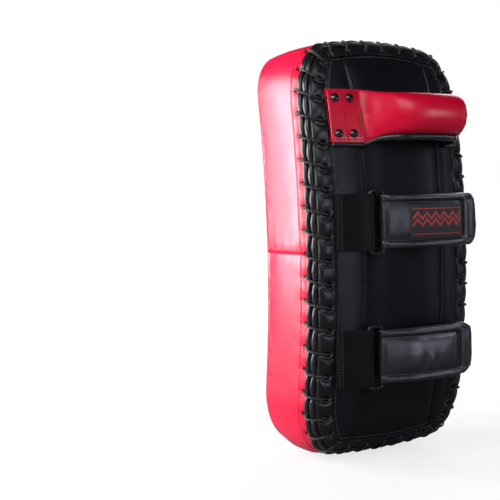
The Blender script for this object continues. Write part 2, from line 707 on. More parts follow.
M = {
    "strike": pu_leather("strike_pu", (0.0058, 0.0062, 0.0080), (0.0105, 0.0108, 0.0135), 0.46, spec=0.38, grain=1050.0, grain_depth=0.00010,
                         wear=(0.05, 0.05, 0.055), wear_amount=0.18),
    "black": pu_leather("black_pu", (0.0040, 0.0044, 0.0064), (0.0068, 0.0073, 0.0104), 0.40, spec=0.24, grain=1250.0, wear=(0.05, 0.05, 0.055),
                        wear_amount=0.25),
    "border": pu_leather("border_pu", (0.0036, 0.0040, 0.0052), (0.0070, 0.0075, 0.0098), 0.33, spec=0.36, grain=1250.0, crease=0.00035,
                         wear=(0.07, 0.07, 0.075), wear_amount=0.35),
    "roll": pu_leather("roll_pu", (0.0055, 0.0060, 0.0070), (0.0110, 0.0120, 0.0140), 0.30, coat=0.25, grain=1400.0,
                       wear=(0.08, 0.08, 0.085), wear_amount=0.35),
    "strap": pu_leather("strap_pu", (0.0060, 0.0060, 0.0085), (0.0115, 0.0115, 0.0150), 0.33, coat=0.18, grain=1300.0, crease=0.00035,
                        wear=(0.07, 0.07, 0.075), wear_amount=0.30),
    "red": pu_leather("red_pu", (0.690, 0.0030, 0.036), (0.770, 0.0056, 0.056), 0.31, spec=0.55, grain=1150.0, wear=(0.86, 0.10, 0.16),
                      wear_amount=0.15, dust=0.0),
    "handle": pu_leather("handle_pu", (0.520, 0.0006, 0.022), (0.600, 0.0010, 0.032), 0.33, spec=0.30, coat=0.10, grain=1250.0,
                         wear=(0.75, 0.05, 0.10), wear_amount=0.20, dust=0.01),
    "lace": cord_finish("lace_cord", (0.0042, 0.0042, 0.0050)),
    "elastic": webbing_finish("ribbed_elastic", (0.0010, 0.0010, 0.0014), (0.0045, 0.0045, 0.0056), 0.0021),
    "hook": pile_finish("hook_pile", (0.010, 0.010, 0.011), 900.0, 0.0006),
    "loop": pile_finish("loop_pile", (0.013, 0.013, 0.014), 600.0, 0.0009),
    "ring": hard_finish("ring_plastic", (0.010, 0.010, 0.011), 0.28),
    "rivet": hard_finish("rivet_enamel", (0.003, 0.003, 0.004), 0.09, coat=0.8),
    "washer": hard_finish("washer_steel", (0.45, 0.45, 0.47), 0.32, metallic=1.0),
    "thread": thread_finish("black_thread", (0.040, 0.040, 0.045)),
    "thread_dark": thread_finish("dark_thread", (0.010, 0.010, 0.012)),
    "seam_thread": thread_finish("seam_thread", (0.085, 0.085, 0.092)),
    "thread_red": thread_finish("red_thread", (0.22, 0.004, 0.014)),
    "thread_dark_red": thread_finish("dark_red_thread", (0.10, 0.003, 0.009)),
    "foam_dark": foam_finish("impact_foam", (0.05, 0.05, 0.055)),
    "board": foam_finish("board_fibre", (0.20, 0.12, 0.06), 500.0),
    "label": label_finish("woven_label"),
}


def dress(node, mat):
    o = NODES[node]
    o.data.materials.clear()
    o.data.materials.append(M[mat])


for n in NODES:
    if n.startswith("rivet_washer"):
        dress(n, "washer")
    elif "strap_foam" in n or n in ("core_foam", "handle_foam"):
        dress(n, "foam_dark")
    elif n == "impact_foam":
        dress(n, "foam_dark")
    elif n in ("backing_board", "handle_tab_core_left", "handle_tab_core_right"):
        dress(n, "board")
    elif "loop_patch" in n:
        dress(n, "loop")
    elif "hook_patch" in n:
        dress(n, "hook")

# ---------------------------------------------------------------- the closure's common track
AROUND = 1500
F = np.arange(AROUND) / AROUND                     # share of the way round, lace turns at multiples of 1 / TURNS
RIM = outline(1.0, 0.0, AROUND, LIFTED)
RIM_N = loop_normals(RIM)
ENDNESS = np.abs(RIM_N[:, 1]) ** 2                  # 1 at the top and bottom ends, 0 at the sides
SEAM_IN = BORDER_IN - 0.0080 * ENDNESS
INNER = RIM - RIM_N * SEAM_IN[:, None]
for _ in range(12):
    INNER = (np.roll(INNER, 1, 0) + 2 * INNER + np.roll(INNER, -1, 0)) / 4


def seam_distance(x, z):
    """Distance from the border's inner seam, positive towards the middle of the pad."""
    q = np.stack([np.ravel(x), np.ravel(z)], -1)
    line = INNER[::2]
    normal = loop_normals(line)
    out = np.empty(len(q))
    for k in range(0, len(q), 4000):
        d = q[k:k + 4000, None] - line[None]
        i = (d ** 2).sum(-1).argmin(1)
        near = d[np.arange(len(i)), i]
        out[k:k + 4000] = -(near * normal[i]).sum(1)
    return out.reshape(np.shape(x))



def phase(f, shift=0.0):
    """Distance along the rim to the nearest lace crossing, in pitches, -0.5 to 0.5."""
    p = f * TURNS - shift
    return p - np.round(p)


PITCH = float(path_length(np.vstack([RIM, RIM[:1]]))[-1]) / TURNS


def around(values, f):
    """Values given per station round the rim, read at shares f."""
    q = np.asarray(f, float) % 1.0 * AROUND
    i = np.floor(q).astype(int) % AROUND
    g = (q - np.floor(q))[..., None]
    return values[i] * (1 - g) + values[(i + 1) % AROUND] * g


# ---------------------------------------------------------------- gusset
GUSSET_Y0, GUSSET_Y1 = -0.0384, 0.0350
STITCH_Y = 0.0226


def gusset_lower(y):
    level = lambda v: REST_FLAT + H_BACK - frame_at((v + HALF_DEPTH) / (2 * HALF_DEPTH))[1]
    return float(np.interp(y, [-0.0386, -0.020, 0.010, 0.0322, 0.036], [0.0, level(-0.020), level(0.010), LIFTED, LIFTED]))


def gusset_surface(f, y, raw=False):
    """Points of the gusset's skin at shares f round the pad, one depth y."""
    t = (y + HALF_DEPTH) / (2 * HALF_DEPTH)
    loop = outline(t, 0.0, AROUND, gusset_lower(y))
    n = loop_normals(loop)
    p, nn = around(loop, f), around(n, f)
    out = 0.0016 * (1.0 - (y / 0.038) ** 2)
    out = out - 0.0020 * max((y - 0.022) / 0.012, 0.0) ** 1.6
    out = out * np.ones_like(f)
    if not raw:
        ph = phase(f)
        d = np.hypot(ph * PITCH / 0.0036, (y - GUSSET_HOLE_Y) / 0.0030)
        out = out - 0.0008 * np.exp(-d ** 2)
        out = out - 0.0014 * np.exp(-np.hypot(ph * PITCH / 0.0013, (y - GUSSET_HOLE_Y) / 0.0013) ** 4)
        near = smoothstep(0.012, 0.033, y)
        out = out + near * 0.00030 * (np.cos(2 * np.pi * (f * TURNS + 0.5)))
        ray = np.exp(-(ph * PITCH / 0.0011) ** 2) * smoothstep(0.0150, 0.0270, y)
        out = out - 0.00022 * ray
        out = out - 0.00055 * math.exp(-((y - STITCH_Y) / 0.0009) ** 2)
        seam_d = np.abs(np.minimum(np.minimum(f % 1.0, 1 - f % 1.0), np.abs(f % 1.0 - 0.5))) * PITCH * TURNS
        out = out - 0.0011 * np.exp(-(seam_d / 0.0010) ** 2) - 0.0006 * np.exp(-(seam_d / 0.0060) ** 2)
        pull = np.exp(-(seam_d / 0.020) ** 2) * ripple(np.stack([seam_d * 0.3, np.full_like(f, y)], -1), 0.006, 3)
        out = out + 0.00025 * pull
        s = f * PITCH * TURNS
        out = out + 0.00045 * ripple(np.stack([s, np.full_like(s, y * 1.6)], -1), 0.055, 1)
        edge = smoothstep(0.020, 0.0385, abs(y))
        out = out + edge * 0.00022 * ripple(np.stack([s, np.full_like(s, y * 0.25)], -1), 0.0045, 2)
    q = p + nn * out[..., None]
    z = q[..., 1]
    z = np.where(z < 0.004, 0.5 * (z + np.sqrt(z * z + 0.0012 ** 2)), z)
    return np.stack([q[..., 0], y + bow(z), z], -1), nn


def gusset_half(name, first, last):
    f = np.linspace(first, last, AROUND // 2 + 1)
    f = f[0] + (f - f[0]) * 1.0
    ys = np.unique(np.concatenate([np.linspace(GUSSET_Y0, 0.012, 34), np.linspace(0.012, GUSSET_Y1, 44)]))
    rows = [gusset_surface(f, float(y))[0] for y in ys]
    for d in (0.00008, 0.0003, 0.0007, 0.0013, 0.0020, 0.0027, 0.0033, 0.0037, 0.0039):
        loop = outline(0.0, d, AROUND)
        p = around(loop, f)
        rise = STRIKE_EDGE * math.sqrt(1 - (1 - d / STRIKE_RADIUS) ** 2) - 0.0030 * smoothstep(0.0030, 0.0040, d)
        s = f * PITCH * TURNS
        rise = rise + 0.00018 * ripple(np.stack([s, s * 0 + d], -1), 0.0060, 7)
        z = p[:, 1]
        z = np.where(z < 0.004, 0.5 * (z + np.sqrt(z * z + 0.0012 ** 2)), z)
        rows.insert(0, np.column_stack([p[:, 0], bow(z) - HALF_DEPTH - rise, z]))
    pts = np.stack(rows, 1)
    obj = grid_object(name, pts, M["red"])
    yy = np.concatenate([np.full(len(rows) - len(ys), -0.039), ys])
    away = np.hypot(phase(f)[:, None] * PITCH, yy[None] - GUSSET_HOLE_Y + 0.0021)
    shade = np.exp(-(away / 0.0023) ** 4) + 0.30 * np.exp(-(away / 0.0036) ** 2)
    obj.data.attributes.new("shade", "FLOAT", "POINT").data.foreach_set("value", np.clip(shade, 0, 1).astype(np.float32).ravel())
    point_outward(obj, lambda c: (0, c.y, MID_Z + (c.z - MID_Z) * 0.5))
    shell(obj, 0.0013)
    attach(obj, "pad")
    return obj


gu = gusset_half("gusset_skin_upper", 0.0, 0.5)
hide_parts("gusset_upper")
gl = gusset_half("gusset_skin_lower", 0.5, 1.0)
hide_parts("gusset_lower")


def pad_piece(obj, slot, *nodes):
    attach(obj, "pad")
    if nodes:
        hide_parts(*nodes)
    return obj


# stitch rows on the gusset: one beside the closure, and the two side seams
rowp, rown = gusset_surface(F, STITCH_Y)
rown3 = np.column_stack([rown[:, 0], np.zeros(AROUND), rown[:, 1]])
pad_piece(stitches("gusset_stitching", rowp, rown3, M["thread_dark_red"], pitch=0.0030, length=0.0022, radius=0.00026, closed=True), "red_pu")
for side, f0 in (("right", 0.0), ("left", 0.5)):
    for k, df in ((1, 0.0020), (2, -0.0020)):
        ys = np.linspace(-0.036, 0.033, 60)
        pts = np.array([gusset_surface(np.array([(f0 + df) % 1.0]), float(y))[0][0] for y in ys])
        nrm = np.array([1.0 if side == "right" else -1.0, 0, 0])
        if k == 1:
            pad_piece(stitches(f"side_seam_stitching_{side}", pts, nrm, M["thread_dark_red"], pitch=0.0032, length=0.0022, radius=0.00022), "red_pu")

# ---------------------------------------------------------------- strike face
RING_INSETS = np.concatenate([[0.0], np.cumsum(np.linspace(0.0006, 0.0026, 52))])
RING_INSETS = RING_INSETS[RING_INSETS < 0.0800]
COUNT = 480


SEAM_D = 0.0036


def strike_height(x, z):
    d = edge_distance(0.0, x, z)
    edge = np.clip(np.maximum(d, 0) / STRIKE_RADIUS, 0, 1)
    slow = np.clip(np.maximum(d, 0) / 0.085, 0, 1)
    rise = STRIKE_EDGE * np.sqrt(np.maximum(1 - (1 - edge) ** 2, 0)) + STRIKE_CROWN * (1 - (1 - slow) ** 2)
    p = np.stack([x, z], -1)
    soft = smoothstep(0.010, 0.040, d)
    rise = rise + soft * (0.0009 * ripple(p, 0.070, 4) + 0.0004 * ripple(p, 0.028, 5))
    tuck = 0.0012 * np.exp(-((d - SEAM_D) / 0.0013) ** 2)
    rise = rise - tuck * (0.75 + 0.25 * ripple(p, 0.006, 6))
    return bow(z) - HALF_DEPTH - rise + 0.0004


rings = []
for inset in RING_INSETS:
    loop = outline(0.0, SEAM_D + float(inset), COUNT)
    rings.append(np.column_stack([loop[:, 0], strike_height(loop[:, 0], loop[:, 1]), loop[:, 1]]))
skirt = outline(0.0, 0.0040, COUNT)
rings.insert(0, np.column_stack([skirt[:, 0], bow(skirt[:, 1]) - HALF_DEPTH - 0.0010, skirt[:, 1]]))
rings = np.array(rings)
faces = [tuple(f) for f in grid_faces(len(rings), COUNT, False, True)]
base = (len(rings) - 1) * COUNT
q = []       # close the last ring across its width
for i in range(COUNT // 4):
    a, b = base + i % COUNT, base + (i + 1) % COUNT
    c, d = base + (COUNT // 2 - 1 - i) % COUNT, base + (COUNT // 2 - i) % COUNT
    q.append((a, b, c, d))
for i in range(COUNT // 4):
    a, b = base + (COUNT // 2 + i) % COUNT, base + (COUNT // 2 + i + 1) % COUNT
    c, d = base + (COUNT - i - 1) % COUNT, base + (COUNT - i) % COUNT
    q.append((a, b, c, d))
clean = []
for f in q:
    if len(set(f)) == 4:
        clean.append(f)
    elif len(set(f)) == 3:
        clean.append(tuple(dict.fromkeys(f)))
strike = mesh_object("strike_cushion", rings.reshape(-1, 3), faces + clean, M["strike"])
outward_fix(strike)
point_outward(strike, (0, 0.3, MID_Z))
held = edge_distance(0.0, np.array([v.co.x for v in strike.data.vertices]), np.array([v.co.z for v in strike.data.vertices])) < 0.0075
inflate(strike, held * 1.0, pressure=3.5, frames=12, cap=0.0012, stiffness=14.0, shrink=0.0)
subdivide(strike)
shell(strike, 0.0013)
pad_piece(strike, "black_pu", "strike_face")
row = outline(0.0, 0.0062, 900)
nrm = np.column_stack([np.zeros(900), -np.ones(900), np.zeros(900)])
out2 = loop_normals(row)
nrm = np.column_stack([out2[:, 0] * 0.75, -0.66 * np.ones(900), out2[:, 1] * 0.75])
pad_piece(stitches("strike_seam_stitching", np.column_stack([row[:, 0], strike_height(row[:, 0], row[:, 1]), row[:, 1]]), nrm,
                   M["thread"], pitch=0.0030, length=0.0021, radius=0.00026, closed=True), "black_pu")

# ---------------------------------------------------------------- strap side: border, panels
HOLE_W = 0.55      # where the border's lace holes lie, from the roll (0) to the seam (1)
OUTER = RIM - RIM_N * 0.0052


def border_surface(f, w, raw=False):
    """A point of the padded border: f round the pad, w from the edge roll (0) to the inner seam (1)."""
    f, w = np.broadcast_arrays(np.asarray(f, float), np.asarray(w, float))
    a, b = around(OUTER, f), around(INNER, f)
    p = a * (1 - w[..., None]) + b * w[..., None]
    x, z = p[..., 0], p[..., 1]
    ph = phase(f, HOLE_SLANT)
    along = ph * PITCH
    width = np.linalg.norm(a - b, axis=-1)
    across = (w - HOLE_W) * width
    size = np.clip(width / 0.0170, 0.45, 1.0)
    puff = 0.0021 * size * np.sin(np.pi * np.clip(w, 0, 1) ** 0.9) ** 0.7
    bay = 0.5 - 0.5 * np.cos(2 * np.pi * ph)           # 0 at a hole, 1 midway
    puff = puff * (0.55 + 0.50 * bay ** 0.7)
    h = puff - 0.0014 * smoothstep(0.10, 0.0, w) - 0.0016 * smoothstep(0.90, 1.0, w)
    if not raw:
        rho = np.hypot(along, across * 0.80)
        below = -along / np.maximum(rho, 1e-6)
        h = h - 0.0010 * size * np.exp(-(rho / 0.0045) ** 2)
        h = h - 0.0024 * size * np.exp(-(rho / 0.0021) ** 4)
        jitter = 0.80 + 0.35 * ripple(np.stack([f * 900, f * 0], -1), 3.1, 8)
        cup = smoothstep(-0.15, 0.75, below)
        h = h + jitter * size * 0.0013 * np.exp(-((rho - 0.0035) / 0.0010) ** 2) * cup
        h = h - jitter * size * 0.0006 * np.exp(-((rho - 0.0056) / 0.0011) ** 2) * cup
        # the cord's own furrow, from the roll to the hole
        h = h - 0.0009 * np.exp(-((along - 0.10 * across) / 0.0015) ** 2) * smoothstep(HOLE_W + 0.05, HOLE_W - 0.15, w)
        s = f * PITCH * TURNS
        h = h + 0.00022 * smoothstep(0.60, 1.0, w) * ripple(np.stack([s, w * 0.004], -1), 0.0034, 9)
        h = h + 0.00040 * ripple(np.stack([s * 0.45, w * 0.017], -1), 0.0060, 10) + 0.00030 * ripple(np.stack([s, w * 0.017], -1), 0.012, 11)
        h = h + 0.00035 * (1 - size) * 2 * ripple(np.stack([s, w * 0.010], -1), 0.0038, 12)
    return np.stack([x, back_y(x, z) + h, z], -1)


W_STEPS = np.concatenate([np.linspace(-0.02, 0.30, 7), np.linspace(0.30, 1.0, 19)[1:], [1.035]])
fg, wg = np.meshgrid(F, W_STEPS, indexing="ij")
bp = border_surface(fg, np.clip(wg, 0, 1))
bp[:, 0] += np.column_stack([np.zeros(AROUND), -0.0022 * np.ones(AROUND), np.zeros(AROUND)])
bp[:, -1] = border_surface(F, np.ones(AROUND)) + np.column_stack([-RIM_N[:, 0] * 0.0007, -0.0022 * np.ones(AROUND), -RIM_N[:, 1] * 0.0007])
border = grid_object("laced_border", bp, M["border"], wrap_u=True)
point_outward(border, lambda c: (c.x, -1.0, c.z))
pin = np.zeros((AROUND, len(W_STEPS)))
pin[:, :2] = 1.0
pin[:, -3:] = 1.0
hole = np.exp(-((phase(fg, HOLE_SLANT) * PITCH / 0.0045) ** 2 + ((wg - HOLE_W) * 0.017 / 0.0045) ** 2))
pin = np.maximum(pin, (hole > 0.35) * 1.0)
inflate(border, pin.ravel(), pressure=5.0, frames=16, cap=0.0005, stiffness=10.0, shrink=-0.004)
shell(border, 0.0012)
pad_piece(border, "black_pu", "back_border")


def seam_x(which, z):
    return which[0] + which[1] * (np.abs(z - MID_Z) / HALF_H) ** 2


def panel_height(x, z, d_top):
    """Height of the strap-side panels over the frame's surface, from the distances to the seams."""
    sr, sl = seam_x(SEAM_RIGHT, z), seam_x(SEAM_LEFT, z)
    dr, dl = x - sr, sl - x
    centre = (x <= sr) & (x >= sl)
    dc = np.minimum(sr - x, x - sl)
    shoulder = 0.0013 - 0.0034 * np.exp(-np.maximum(dc, 0) / 0.0085)
    ds = np.where(x > 0, dr, dl)
    flank = 0.0010 - 0.0030 * np.exp(-np.maximum(ds, 0) / 0.0045)
    h = np.where(centre, shoulder, flank)
    seam = np.minimum(np.abs(x - sr), np.abs(x - sl))
    h = h - 0.0012 * np.exp(-(seam / 0.0011) ** 2)
    p = np.stack([x, z], -1)
    h = h + (0.00050 * ripple(p, 0.060, 12) + 0.00022 * ripple(p * [1.0, 0.45], 0.016, 13)) * smoothstep(0.0, 0.012, seam)
    h = h + 0.00028 * np.exp(-seam / 0.006) * ripple(np.stack([x * 0.6, z], -1), 0.0060, 14)
    h = h - 0.0022 * np.exp(-np.maximum(d_top, 0) / 0.0045) - 0.0016 * smoothstep(0.0, -0.0025, d_top)
    h = h + 0.00030 * np.exp(-np.abs(d_top) / 0.006) * ripple(np.stack([x, z], -1), 0.0042, 15)
    return h


PANEL_IN = 0.0112


def panel(name, lo, hi, columns, rows, node, tuck=(0.0, 0.0)):
    w, h, _, _ = frame_at(1.0)
    inset = PANEL_IN
    hs = h - END_CROWN - inset
    v = np.linspace(-1, 1, rows)
    v = np.sign(v) * (1 - (1 - np.abs(v)) ** 1.35)
    zc = v * hs
    u = np.linspace(0, 1, columns)
    a, b = lo(zc) - tuck[0], hi(zc) + tuck[1]
    x = a[:, None] + (b - a)[:, None] * u[None]
    zz = np.repeat(zc[:, None], columns, 1)
    xn, zn = crowned(1.0, inset, x, zz, LIFTED)
    y = back_y(xn, zn) + panel_height(xn, zn, seam_distance(xn, zn))
    obj = grid_object(name, np.stack([xn, y, zn], -1), M["black"])
    point_outward(obj, lambda c: (c.x, -1.0, c.z))
    edge = seam_distance(xn, zn)
    near = np.minimum(np.abs(xn - seam_x(SEAM_RIGHT, zn)), np.abs(xn - seam_x(SEAM_LEFT, zn)))
    held = np.maximum((edge < 0.0035) * 1.0, (near < 0.0020) * 1.0)
    inflate(obj, held.ravel(), pressure=3.0, frames=12, cap=0.00035, stiffness=15.0, shrink=0.004)
    shell(obj, 0.0012)
    return pad_piece(obj, "black_pu", node)


edge_row = INNER - loop_normals(INNER) * 0.0019
row = np.column_stack([edge_row[:, 0], back_y(edge_row[:, 0], edge_row[:, 1])
                       + panel_height(edge_row[:, 0], edge_row[:, 1], np.full(AROUND, 0.0019)), edge_row[:, 1]])
pad_piece(stitches("border_stitching", row, back_normal(row[:, 0], row[:, 2]), M["seam_thread"], pitch=0.0026, length=0.0017, radius=0.00034,
                   lift=0.00022, closed=True), "black_pu")

rim_in = lambda zc: half_width(1.0, PANEL_IN, zc)
right_seam = lambda zc: np.minimum(seam_x(SEAM_RIGHT, zc + MID_Z), rim_in(zc))
left_seam = lambda zc: np.maximum(seam_x(SEAM_LEFT, zc + MID_Z), -rim_in(zc))
panel("center_panel_skin", left_seam, right_seam, 84, 240, "back_center_panel", (0.0006, 0.0006))
panel("flank_skin_right", right_seam, rim_in, 44, 260, "back_flank_right")
panel("flank_skin_left", lambda z: -rim_in(z), left_seam, 44, 260, "back_flank_left")

# ---------------------------------------------------------------- edge rolls
ROLL_R = 0.0025


def roll(name, out, y, slot_node, seed, squeeze, bulge):
    """A welt that swells between the lace's crossings and is nipped under them. out and y place its middle."""
    ph = phase(F, HOLE_SLANT * squeeze)
    bay = 0.5 - 0.5 * np.cos(2 * np.pi * ph)
    nip = np.exp(-(ph * PITCH / 0.0023) ** 2)
    s = F * PITCH * TURNS
    wob = ripple(np.stack([s, s * 0], -1), 0.011, seed)
    off = out + 0.0007 * bulge * bay - 0.0008 * nip + 0.00018 * wob
    c = RIM + RIM_N * off[:, None]
    yy = y - 0.0002 * bay + 0.00012 * ripple(np.stack([s, s * 0 + 9], -1), 0.013, seed + 1)
    path = np.column_stack([c[:, 0], yy + bow(c[:, 1]), c[:, 1]])
    r = ROLL_R * (0.90 + 0.16 * bay - 0.16 * nip) + 0.00006 * wob
    up = np.column_stack([RIM_N[:, 0], np.zeros(AROUND), RIM_N[:, 1]])

    def shape(i, ang):
        k = np.ones((len(i), len(ang)))
        ridge = ripple(np.stack([np.repeat(s[:, None], len(ang), 1), np.repeat((ang * 0.0016)[None], len(i), 0)], -1), 0.0050, seed + 2)
        side = np.cos(ang - 2.6)[None]
        return k + 0.035 * ridge + 0.05 * side * nip[:, None]

    obj = tube_object(name, path, r, M["roll"], up=up, sides=22, closed=True, shape=shape)
    outward_fix(obj)
    return pad_piece(obj, "edge_roll", slot_node)


roll("gusset_welt", GUSSET_ROLL[0] + 0.0003, GUSSET_ROLL[1] - 0.0002, "gusset_edge_roll", 20, 0.35, 1.0)
roll("border_welt", BORDER_ROLL[0] + 0.0004, BORDER_ROLL[1] + 0.0004, "back_edge_roll", 24, 0.70, 1.0)
# the gathered fold between the two welts
ph = phase(F, HOLE_SLANT * 0.5)
lacing_fold = []
for k, (out, y) in enumerate(((-0.0050, 0.0330), (-0.0038, 0.0352), (-0.0034, 0.0375), (-0.0052, 0.0395), (-0.0070, 0.0400))):
    c = RIM + RIM_N * (out - 0.0004 * np.exp(-(ph * PITCH / 0.003) ** 2))[:, None]
    lacing_fold.append(np.column_stack([c[:, 0], y + bow(c[:, 1]), c[:, 1]]))
fold = grid_object("closure_fold", np.stack(lacing_fold, 1), M["border"], wrap_u=True)
point_outward(fold, lambda c: (c.x * 0.8, c.y, MID_Z + (c.z - MID_Z) * 0.8))
shell(fold, 0.0010)
pad_piece(fold, "edge_roll")

# ---------------------------------------------------------------- lace
LACE_R = 0.00102


def lace_path():
    pts, ups = [], []
    for k in range(TURNS):
        f = k / TURNS + RNG.normal(0, 0.0004)
        fb = f + HOLE_SLANT / TURNS * (1 + RNG.normal(0, 0.07))
        g0, n0 = gusset_surface(np.array([f % 1.0]), GUSSET_HOLE_Y, raw=True)
        n0 = np.array([n0[0, 0], 0, n0[0, 1]])
        g0 = g0[0]
        hole = border_surface(np.array([fb % 1.0]), np.array([HOLE_W]))[0]
        hn = back_normal(hole[0], hole[2])

        def over(share, out, y):
            ff = f + (fb - f) * share
            r, n = around(RIM, np.array([ff]))[0], around(RIM_N, np.array([ff]))[0]
            n = n / np.linalg.norm(n)
            q = r + n * out
            return np.array([q[0], y + bow(q[1]), q[1]])

        def border_at(share, w, up):
            ff = (f + (fb - f) * share) % 1.0
            p = border_surface(np.array([ff]), np.array([w]))[0]
            return p + back_normal(p[0], p[2]) * up

        seq = [
            g0 - n0 * 0.0050,
            g0 - n0 * 0.0022 + np.array([0, -0.0002, 0]),
            g0 + n0 * 0.0001 + np.array([0, 0.0006, 0]),
            over(0.12, GUSSET_ROLL[0] + 0.0014, GUSSET_ROLL[1] - 0.0027),
            over(0.30, GUSSET_ROLL[0] + 0.0029, GUSSET_ROLL[1] - 0.0002),
            over(0.45, GUSSET_ROLL[0] + 0.0025, GUSSET_ROLL[1] + 0.0028),
            over(0.58, BORDER_ROLL[0] + 0.0031, BORDER_ROLL[1] + 0.0022),
            over(0.70, BORDER_ROLL[0] + 0.0006, BORDER_ROLL[1] + 0.0038),
            border_at(0.82, HOLE_W * 0.30, 0.0009),
            border_at(0.93, HOLE_W * 0.66, 0.0008),
            border_at(1.00, HOLE_W * 0.93, 0.0000),
            hole - hn * 0.0030,
            hole - hn * 0.0060,
        ]
        pts += [np.asarray(q, float) for q in seq]
    return np.array(pts)


knots = lace_path()
ext = np.vstack([knots[-2:], knots, knots[:3]])
dense = []
for i in range(2, len(knots) + 2):
    a, b, c, d = ext[i - 1], ext[i], ext[i + 1], ext[i + 2]
    for t in np.linspace(0, 1, 9, endpoint=False):
        dense.append(0.5 * ((2 * b) + (c - a) * t + (2 * a - 5 * b + 4 * c - d) * t ** 2 + (3 * b - a - 3 * c + d) * t ** 3))
dense = np.array(dense)
track = np.concatenate([[0], np.cumsum(np.linalg.norm(np.diff(dense, axis=0), axis=1))])
centre_up = np.column_stack([dense[:, 0] * 0.5, 0.10 * np.ones(len(dense)) + 0.0, dense[:, 2] - MID_Z])


def braid(i, ang):
    turn = track[i][:, None] / 0.0034 * 2 * math.pi
    return 1 + 0.055 * np.cos(4 * ang[None] + turn) + 0.055 * np.cos(4 * ang[None] - turn)


tt, _, _ = frames_along(dense, (0, 0, 1), closed=True)
nn = np.zeros_like(dense)
v = np.cross(tt[0], [0.3, 0.9, 0.2])
nn[0] = v / np.linalg.norm(v)
for i in range(1, len(dense)):      # carry the section along without twist
    v = nn[i - 1] - tt[i] * (nn[i - 1] @ tt[i])
    nn[i] = v / np.linalg.norm(v)
ang = np.linspace(0, 2 * math.pi, 12, endpoint=False)
bb = np.cross(tt, nn)
k = braid(np.arange(len(dense)), ang)
pts = dense[:, None] + (np.cos(ang)[None, :, None] * nn[:, None] + np.sin(ang)[None, :, None] * bb[:, None]) * (LACE_R * k)[:, :, None]
uv = np.stack([np.repeat((track / 0.0017)[:, None], 12, 1), np.repeat((ang / (2 * math.pi))[None], len(dense), 0)], -1)
lace = outward_fix(grid_object("lace_cord_skin", pts, M["lace"], wrap_u=True, wrap_v=True, uv=uv))
pad_piece(lace, "lace_cord", "lace")

# ---------------------------------------------------------------- handle
HANDLE_KEYS = [
    (0.0750, None, None, TAB_HALF_H, HANDLE_Z, 8.0),
    (0.0590, None, None, TAB_HALF_H, HANDLE_Z, 8.0),
    (0.0440, None, None, TAB_HALF_H, HANDLE_Z, 7.0),
    (0.0370, 0.0182, 0.0262, 0.0232, 0.3270, 3.2),
    (0.0300, 0.0200, 0.0365, 0.0207, 0.3280, 2.5),
    (0.0210, 0.0225, 0.0480, 0.0194, 0.3284, 2.2),
    (0.0100, 0.0258, 0.0570, 0.0192, 0.3284, 2.1),
    (-0.0050, 0.0285, 0.0628, 0.0190, 0.3284, 2.1),
    (-0.0200, 0.0297, 0.0658, 0.0190, 0.3281, 2.1),
    (-0.0340, 0.0295, 0.0670, 0.0190, 0.3278, 2.1),
    (-0.0450, 0.0275, 0.0662, 0.0190, 0.3276, 2.1),
    (-0.0515, 0.0240, 0.0615, 0.0195, 0.3272, 2.2),
    (-0.0552, 0.0198, 0.0500, 0.0203, 0.3268, 2.5),
    (-0.0570, 0.0164, 0.0330, 0.0218, 0.3266, 3.2),
    (-0.0582, 0.0152, 0.0225, 0.0238, 0.3264, 5.0),
    (-0.0594, None, None, TAB_HALF_H, HANDLE_Z, 7.0),
    (-0.0690, None, None, TAB_HALF_H, HANDLE_Z, 8.0),
    (-0.0775, None, None, TAB_HALF_H, HANDLE_Z, 8.0),
]
EDGE_Y = HALF_DEPTH + bow(HANDLE_Z)


def handle_key(x, inner, outer, b, zc, power):
    if inner is None:
        inner = float(back_off(x, HANDLE_Z)) + TAB_LIFT
        outer = inner + 2 * TAB_HALF_T
    return x, (inner + outer) / 2, (outer - inner) / 2, b, zc, power


HS = 260
path_h = curve_through([handle_key(*k) for k in HANDLE_KEYS], HS)


def tab_lean(x, z):
    return bow(z) - bow(HANDLE_Z) + back_off(x, z) - back_off(x, HANDLE_Z)


def handle_section(row, ang, grow=0.0):
    """Section points of the handle at path row(s): angle 0 outward, 90 degrees up."""
    x, off, a, b, zc, power = [row[..., k] for k in range(6)]
    a, b = a + grow, b + grow
    ca, sa = np.cos(ang), np.sin(ang)
    r = (np.abs(ca) ** power + np.abs(sa) ** power) ** (-1 / power)
    d, h = a * r * ca, b * r * sa
    flat = np.clip((0.0125 - a) / 0.009, 0.0, 1.0)
    z = zc + h
    return np.stack([x + 0 * z, EDGE_Y + off + d + tab_lean(x, z) * flat, z], -1)


SIDES = 120
rows = []
for i in range(HS):
    row = path_h[i]
    a = np.linspace(-math.pi / 2, 1.5 * math.pi, 721)
    p = handle_section(np.repeat(row[None], 721, 0), a)
    s = path_length(p)
    ang_i = np.interp(np.linspace(0, s[-1], SIDES, endpoint=False), s, a)
    rows.append(handle_section(np.repeat(row[None], SIDES, 0), ang_i))
hp = np.array(rows)
hx = path_h[:, 0]
ha = path_h[:, 2]
centre = np.stack([hx, EDGE_Y + path_h[:, 1], path_h[:, 4]], -1)
radial = hp - centre[:, None]
size = np.linalg.norm(radial, axis=2, keepdims=True)
radial = radial / np.maximum(size, 1e-6)
barness = smoothstep(0.004, 0.012, ha)[:, None]
outer_side = smoothstep(-0.2, 0.5, radial[..., 1])
